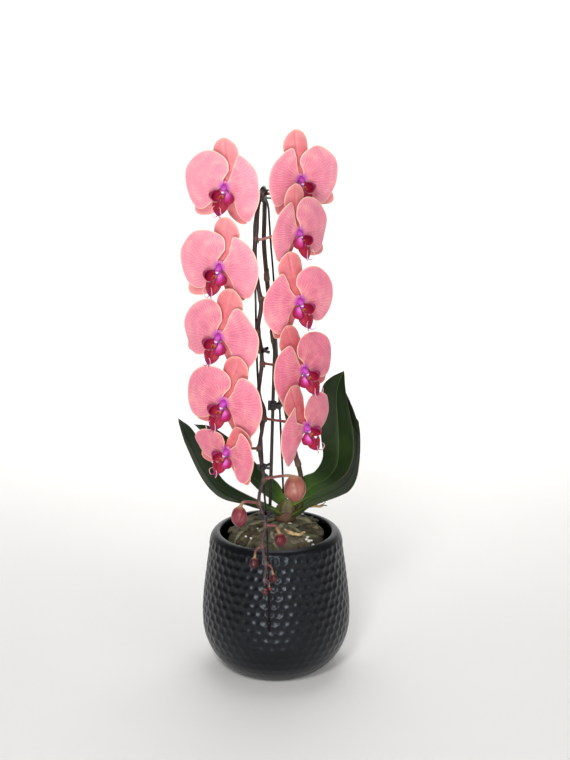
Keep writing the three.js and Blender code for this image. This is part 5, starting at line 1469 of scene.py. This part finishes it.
    def mid(p):
        x, y = p[:, 0], p[:, 1]
        d = -7 - y
        z = np.where(d < 11, 7 + .5 * d, 12.5 + .12 * (d - 11)) - .045 * x * x
        z = z + 0.9 * np.exp(-(x / 1.2) ** 2) * (1 - smooth01(d, 7, 15))
        z = z + 0.5 * np.exp(-((np.abs(x) - 3.0) / 1.1) ** 2) * smooth01(d, 1, 5) * (1 - smooth01(d, 11, 16))
        z = z - 0.4 * np.exp(-(x / 0.6) ** 2) * smooth01(d, 8, 12)
        z = z + 0.4 * smooth01(d, 14, 18) + 0.05 * np.clip(np.abs(x) - 5, 0, 9) ** 2 * smooth01(d, 2, 7)
        return np.stack([x, y, z], -1)

    v, fc, xy, ring, front = blade_mesh(outl, (0, -15.5), mid, lambda ab, k: 1.8 - 1.0 * k ** 2)
    d = (-7 - xy[:, 1:2])
    ax = np.abs(xy[:, 0:1])
    crim, deep, vio, hot = lin3('#940f31'), lin3('#6c0826'), lin3('#7e1c60'), lin3('#a61c35')
    col = crim * np.ones((len(v), 1))
    edge = smooth01(ring[:, None], 0.62, 0.98)
    col = col * (1 - 0.35 * edge) + deep * 0.35 * edge
    warm = np.exp(-((ax - 4.5) / 2.2) ** 2) * smooth01(d, 2, 6) * (1 - smooth01(d, 10, 14))
    col = col * (1 - 0.35 * warm) + hot * 0.35 * warm
    tipk = smooth01(d, 11.5, 16.5)
    col = col * (1 - 0.75 * tipk) + vio * 0.75 * tipk
    keel = np.exp(-(xy[:, 0:1] / 0.9) ** 2) * smooth01(d, 4, 8)
    col = col * (1 - 0.4 * keel) + deep * 0.4 * keel
    spots = smooth01(fbm(v, 0.9, 2, seed + 60.0), 0.15, 0.4)[:, None] * (1 - smooth01(d, 4, 9))
    col = col * (1 - 0.5 * spots) + deep * 0.5 * spots
    col = np.where(front[:, None] > 0.5, col, col * 0.75 + lin3('#b5406e') * 0.25)
    Vw = WL(v)
    part.add(Vw, outward(Vw, fc), col=np.clip(col, 0.004, 1))
    # claw
    p = even(centripetal([(0, -5.9, 2.4), (0, -7.1, 3.9), (0, -8.4, 5.7), (0, -9.6, 7.6), (0, -10.8, 9.3)], 8), 0.5)
    k = np.linspace(0, 1, len(p))
    v, fc, info = tube(WL(p), np.interp(k, [0, .4, .8, 1], [1.7, 1.8, 2.0, 1.3]) * size, 16)
    part.add(v, fc, col=np.broadcast_to(lin3('#b55cae'), (len(v), 3)))
    # side lobes, upright, hollow towards the column
    for sd in (1, -1):
        rim = A(SIDE_LOBE_RIM)
        if sd == inn:
            rim = A([(4.8, -1.9, 6.8), (6.8, -2.2, 10.6), (7.6, -5.6, 13.2), (7.2, -9.6, 12.6), (5.8, -12.3, 9.6), (3.4, -12.0, 7.0), (0.9, -9.8, 6.8), (0.9, -7.2, 4.6), (3.5, -3.6, 3.4)])
        loop = ring_spline(rim * A([sd, 1, 1]), 72)
        c0 = loop.mean(0)
        bul = A(SIDE_LOBE_BULGE) * A([sd, 1, 1])
        ks = [0.08, 0.18, 0.3, 0.42, 0.54, 0.66, 0.77, 0.86, 0.93, 0.975]
        rows = [c0 + (loop - c0) * q + bul * (1 - q ** 2.2) for q in ks] + [loop]
        mids = A(rows)
        dk = np.gradient(mids, axis=0)
        da = np.roll(mids, -1, axis=1) - np.roll(mids, 1, axis=1)
        nn = unit(np.cross(dk, da))
        if (nn[3] @ bul).mean() < 0:
            nn = -nn
        th = A([0.6 - 0.25 * q for q in ks] + [0.0])[:, None, None]
        outer = mids + nn * th
        inner = mids - nn * th
        m = len(rows)
        n = loop.shape[0]
        top = c0 + bul + unit(bul) * 0.6
        bot = c0 + bul - unit(bul) * 0.6
        v = np.vstack([outer.reshape(-1, 3), inner[:-1].reshape(-1, 3), top, bot])
        fc = grid_faces(m, n, True)
        off = m * n
        for i in range(m - 2):
            for j in range(n):
                a, b = off + i * n + j, off + i * n + (j + 1) % n
                fc.append((a, a + n, b + n, b))
        for j in range(n):
            jn = (j + 1) % n
            fc.append((off + (m - 2) * n + j, (m - 1) * n + j, (m - 1) * n + jn, off + (m - 2) * n + jn))
            fc.append((len(v) - 2, jn, j))
            fc.append((len(v) - 1, off + j, off + jn))
        # outside: lilac at the base, magenta, then crimson towards the rim; inside: deep crimson
        io = np.concatenate([np.ones(m * n), np.zeros((m - 1) * n), [1, 0]])[:, None]
        reach = np.linalg.norm((v - A([sd * 7.0, -3.0, 11.0])) * A([1.0, 0.8, 0.8]), axis=1)[:, None]
        pale, mag, crimson = lin3('#cd6cc0'), lin3('#b4287e'), lin3('#a00f3a')
        m1, m2 = smooth01(reach, 0.8, 4.0), smooth01(reach, 3.6, 7.6)
        outside = (pale * (1 - m1) + mag * m1) * (1 - m2) + crimson * m2
        backwards = np.maximum(smooth01(7.6 - v[:, 2:3], 0.0, 3.0), smooth01(np.abs(v[:, 0:1]), 9.6, 11.2))
        if sd == inn:
            fringe = np.exp(-((v[:, 1:2] + 2.0) / 2.2) ** 2) * 0.5
            outside = lin3('#98103c') * (1 - fringe) + lin3('#a03a8e') * fringe
        outside = outside * (1 - 0.8 * backwards) + lin3('#84113a') * 0.8 * backwards
        deepin = smooth01(np.linalg.norm(v - (c0 + bul), axis=1)[:, None], 2.0, 8.0)
        inside = lin3('#7c0a2e') * (1 - deepin) + lin3('#9a0f38') * deepin
        throat = 1 - smooth01(np.linalg.norm(v - A([sd * 1.2, -9.5, 6.2]), axis=1)[:, None], 1.5, 3.5)
        bars = (0.5 + 0.5 * np.sin(v[:, 1:2] * 6.0 + v[:, 2:3] * 2.0)) * throat
        inside = inside * (1 - 0.6 * bars) + lin3('#d8862c') * 0.6 * bars
        col = inside * (1 - io) + outside * io
        Vw = WL(v)
        part.add(Vw, outward(Vw, fc), col=np.clip(col, 0.004, 1))
    # callus: two-lobed, yellow with red bars
    for sd in (1, -1):
        cv = iv * A([1.25, 2.3, 1.3])
        cv += A([sd * 1.1, -8.0, 7.0])
        bars = 0.5 + 0.5 * np.sin(cv[:, 1:2] * 7.0 + cv[:, 0:1] * 2)
        c = lin3('#d98a2e') * (1 - smooth01(bars, 0.45, 0.8)) + lin3('#7c1a26') * smooth01(bars, 0.45, 0.8)
        Vw = WL(cv)
        part.add(Vw, outward(Vw, jf), col=np.clip(c, 0.004, 1))
    # two tendrils that curl up and forwards from the tip
    for sd in (1, -1):
        q = [(0.7, -24.2, 13.4), (1.7, -25.7, 14.8), (3.4, -25.2, 16.6), (4.8, -22.4, 17.8), (5.0, -18.8, 18.2), (4.0, -15.8, 17.9), (2.8, -14.6, 17.2)]
        q = A(q) * A([sd, 1, 1]) + rng.normal(0, 0.25, (7, 3)) * A([[0], [0.5], [1], [1], [1], [1], [1]])
        p = even(centripetal(q, 8), 0.5)
        k = np.linspace(0, 1, len(p))
        v, fc, info = tube(WL(p), (0.5 - 0.26 * k) * size, 10)
        kk = np.clip(info[:, 0] / info[:, 0].max(), 0, 1)[:, None]
        c = lin3('#a8326e') * (1 - smooth01(kk, 0.1, 0.5)) + lin3('#ecb0b4') * smooth01(kk, 0.1, 0.5)
        part.add(v, fc, col=np.clip(c, 0.004, 1))
    part.object(node + "_lip_body", [LIP], node + "_lip", "lip")


def outward(V, faces):
    """Faces turned so that the closed mesh has a positive volume."""
    vol = 0.0
    c = V.mean(0)
    tri = A([(q[0], q[1], q[2]) for q in faces]).astype(int)
    a, b, d = V[tri[:, 0]] - c, V[tri[:, 1]] - c, V[tri[:, 2]] - c
    vol = (a * np.cross(b, d)).sum()
    quads = A([(q[0], q[2], q[3]) for q in faces if len(q) == 4]).astype(int)
    if len(quads):
        a, b, d = V[quads[:, 0]] - c, V[quads[:, 1]] - c, V[quads[:, 2]] - c
        vol += (a * np.cross(b, d)).sum()
    return faces if vol > 0 else [tuple(reversed(q)) for q in faces]


for i, f in enumerate(FLOWERS):
    build_flower(f, i)


# -------------------------------------------------------------------- buds
BUD_COLOURS = {
    'bud_1': ('#945248', '#9c6054', '#84423e'), 'bud_2': ('#7c2d36', '#863a42', '#66222d'), 'bud_3': ('#560c1a', '#5c101f', '#420914'),
    'bud_4': ('#40091a', '#460c18', '#320710'), 'bud_5': ('#420a14', '#480c18', '#340810'), 'bud_6': ('#551019', '#5a141f', '#460d15'),
    'bud_7': ('#551019', '#5a141f', '#460d15')}


def build_bud(b, seed):
    part = Part()
    axis = unit(b['axis'])
    x = unit(A([1, 0, 0]) - axis[0] * axis)
    y = np.cross(axis, x)
    L, w = b['length'], b['width']
    rows, seg = 44, 60
    ang = np.arange(seg) / seg * 2 * np.pi
    base, midc, tipc = [lin3(h) for h in BUD_COLOURS[b['name']]]
    V, C = [], []
    for i in range(rows):
        t = (i + 0.5) / rows
        s = -math.cos(math.pi * t)                  # -1 at the stalk, 1 at the tip
        r = math.sqrt(max(0, 1 - s * s)) ** 0.9 * (1 + 0.07 * s) * (1 - 0.10 * smooth01(s, 0.55, 1.0))
        seam = np.zeros(seg)
        for q in range(3):
            c0 = 2.1 * q + 0.5 + 0.5 * s + seed
            dd = np.angle(np.exp(1j * (ang - c0)))
            seam += np.exp(-(dd / 0.09) ** 2) - 0.35 * np.exp(-((dd - 0.2) / 0.12) ** 2)
        lobes = 1 + 0.035 * np.cos(3 * (ang - 0.5 - seed) - 1.5 * s)
        rr = r * w / 2 * lobes * (1 - 0.085 * seam * smooth01(1 - abs(s), 0.0, 0.25))
        z = s * L / 2 + 0.04 * L * smooth01(s, 0.7, 1.0)
        V.append(A(b['at']) + axis * z + x * (rr * np.cos(ang))[:, None] + y * (rr * np.sin(ang))[:, None])
        c = base * (1 - smooth01(s, -0.9, 0.1)) + midc * smooth01(s, -0.9, 0.1)
        c = c * (1 - smooth01(s, 0.2, 0.95)) + tipc * smooth01(s, 0.2, 0.95)
        vein = 0.5 + 0.5 * np.sin(ang * 15 + 0.6 * s)
        cc = c[None] * (1 - 0.55 * np.clip(seam, 0, 1)[:, None]) * (1 - 0.16 * vein[:, None])
        # warm greenish blush near the stalk
        g = (1 - smooth01(s, -1.0, -0.55)) * 0.5
        C.append(cc * (1 - g) + lin3('#b98a5c')[None] * g)
    v = np.vstack(V)
    f = grid_faces(rows, seg, True)
    n = len(v)
    v = np.vstack([v, A(b['at']) - axis * L / 2, A(b['at']) + axis * L * 0.54])
    for j in range(seg):
        jn = (j + 1) % seg
        f.append((n, jn, j))
        f.append((n + 1, (rows - 1) * seg + j, (rows - 1) * seg + jn))
    col = np.vstack(C + [C[0][:1], C[-1][:1]])
    part.add(v, outward(v, f), col=np.clip(col, 0.004, 1))
    ob_mats = [BUD]
    if b.get('node'):
        i = on_spike(b['node'])
        top = A(b['at']) - axis * L * 0.44
        out = unit(A(b['up']) - A(b['node']))
        foot = A(b['node']) + out * 0.8
        p = even(centripetal([top, top * 0.65 + A(b['up']) * 0.35, A(b['up']), A(b['up']) * 0.45 + foot * 0.55 + A([0, 0, 0.6]), foot], 10), 0.6)
        k = np.linspace(0, 1, len(p))
        r0 = min(1.5, w * 0.13)
        rad = r0 * np.interp(k, [0, 0.08, 0.3, 0.8, 1], [1.5, 1.15, 0.95, 1.0, 1.3])
        v, f, info = tube(p, rad, 16, section=lambda a, i2, s: 1 + 0.05 * np.cos(5 * a + 0.1 * s))
        kk = np.clip(info[:, 0] / info[:, 0].max(), 0, 1)[:, None]
        c = lin3('#9c7c58') * (1 - smooth01(kk, 0.05, 0.5)) + lin3('#6c3b3c') * smooth01(kk, 0.05, 0.5)
        part.add(v, f, col=np.clip(c * (1 + 0.2 * fbm(v, 0.4, 2, seed)[:, None]), 0.004, 1))
    part.object(b['name'] + "_body", ob_mats, b['name'], "bud")


for i, b in enumerate(BUDS):
    build_bud(b, i * 0.7)


# ------------------------------------------------------------ stage and light
def stage():
    n = 40
    prof = [(-3.0, 0.0)] + [(y, 0.0) for y in np.linspace(-2.5, 1.0, 6)]
    for i in range(1, n + 1):
        a = i / n * math.pi / 2
        prof.append((1.0 + 1.0 * math.sin(a), 1.0 - 1.0 * math.cos(a)))
    prof.append((2.0, 4.0))
    v, f = [], []
    for y, z in prof:
        v += [(-4.0, y, z - 0.0002), (4.0, y, z - 0.0002)]
    for i in range(len(prof) - 1):
        f.append((2 * i, 2 * i + 1, 2 * i + 3, 2 * i + 2))
    me = bpy.data.meshes.new("floor")
    me.from_pydata(v, [], f)
    me.polygons.foreach_set("use_smooth", [True] * len(f))
    m = Mat("floor_paint", Roughness=0.75, Specular_IOR_Level=0.2)
    nz = m.noise(m.obj(), 3.0, 2)
    m.out(Base_Color=m.mix(nz, lin('#eeedeb'), lin('#f2f1ef')))
    me.materials.append(m.mat)
    ob = bpy.data.objects.new("floor", me)
    bpy.context.scene.collection.objects.link(ob)


stage()


def area(name, loc, target, size, power, colour=(1, 1, 1)):
    d = bpy.data.lights.new(name, 'AREA')
    d.shape = 'RECTANGLE'
    d.size, d.size_y = size
    d.energy = power
    d.color = colour
    o = bpy.data.objects.new(name, d)
    o.location = loc
    o.rotation_euler = (Vector(target) - Vector(loc)).to_track_quat('-Z', 'Y').to_euler()
    bpy.context.scene.collection.objects.link(o)


area("key", (-0.30, -1.55, 1.42), (-0.01, -0.1, 0.42), (0.34, 0.34), 14.5)
area("front", (-0.10, -1.66, 1.02), (0, -0.1, 0.25), (0.2, 0.2), 1.4)
area("low", (-0.18, -1.64, 0.30), (0, -0.08, 0.08), (0.62, 0.30), 12.5)
area("fill", (1.2, -1.3, 0.9), (0, 0, 0.35), (1.0, 1.0), 5.5)
area("top", (0.1, 0.4, 1.9), (0, 0.1, 0.2), (1.0, 1.0), 7)
area("backdrop", (0, 0.9, 1.7), (0, 2.6, 0.5), (1.6, 0.8), 30)
world = bpy.data.worlds.new("studio")
world.use_nodes = True
world.node_tree.nodes["Background"].inputs[0].default_value = (1.0, 1.0, 1.0, 1.0)
world.node_tree.nodes["Background"].inputs[1].default_value = 0.2
bpy.context.scene.world = world
bpy.context.scene.view_settings.view_transform = 'Standard'

bpy.context.view_layer.update()
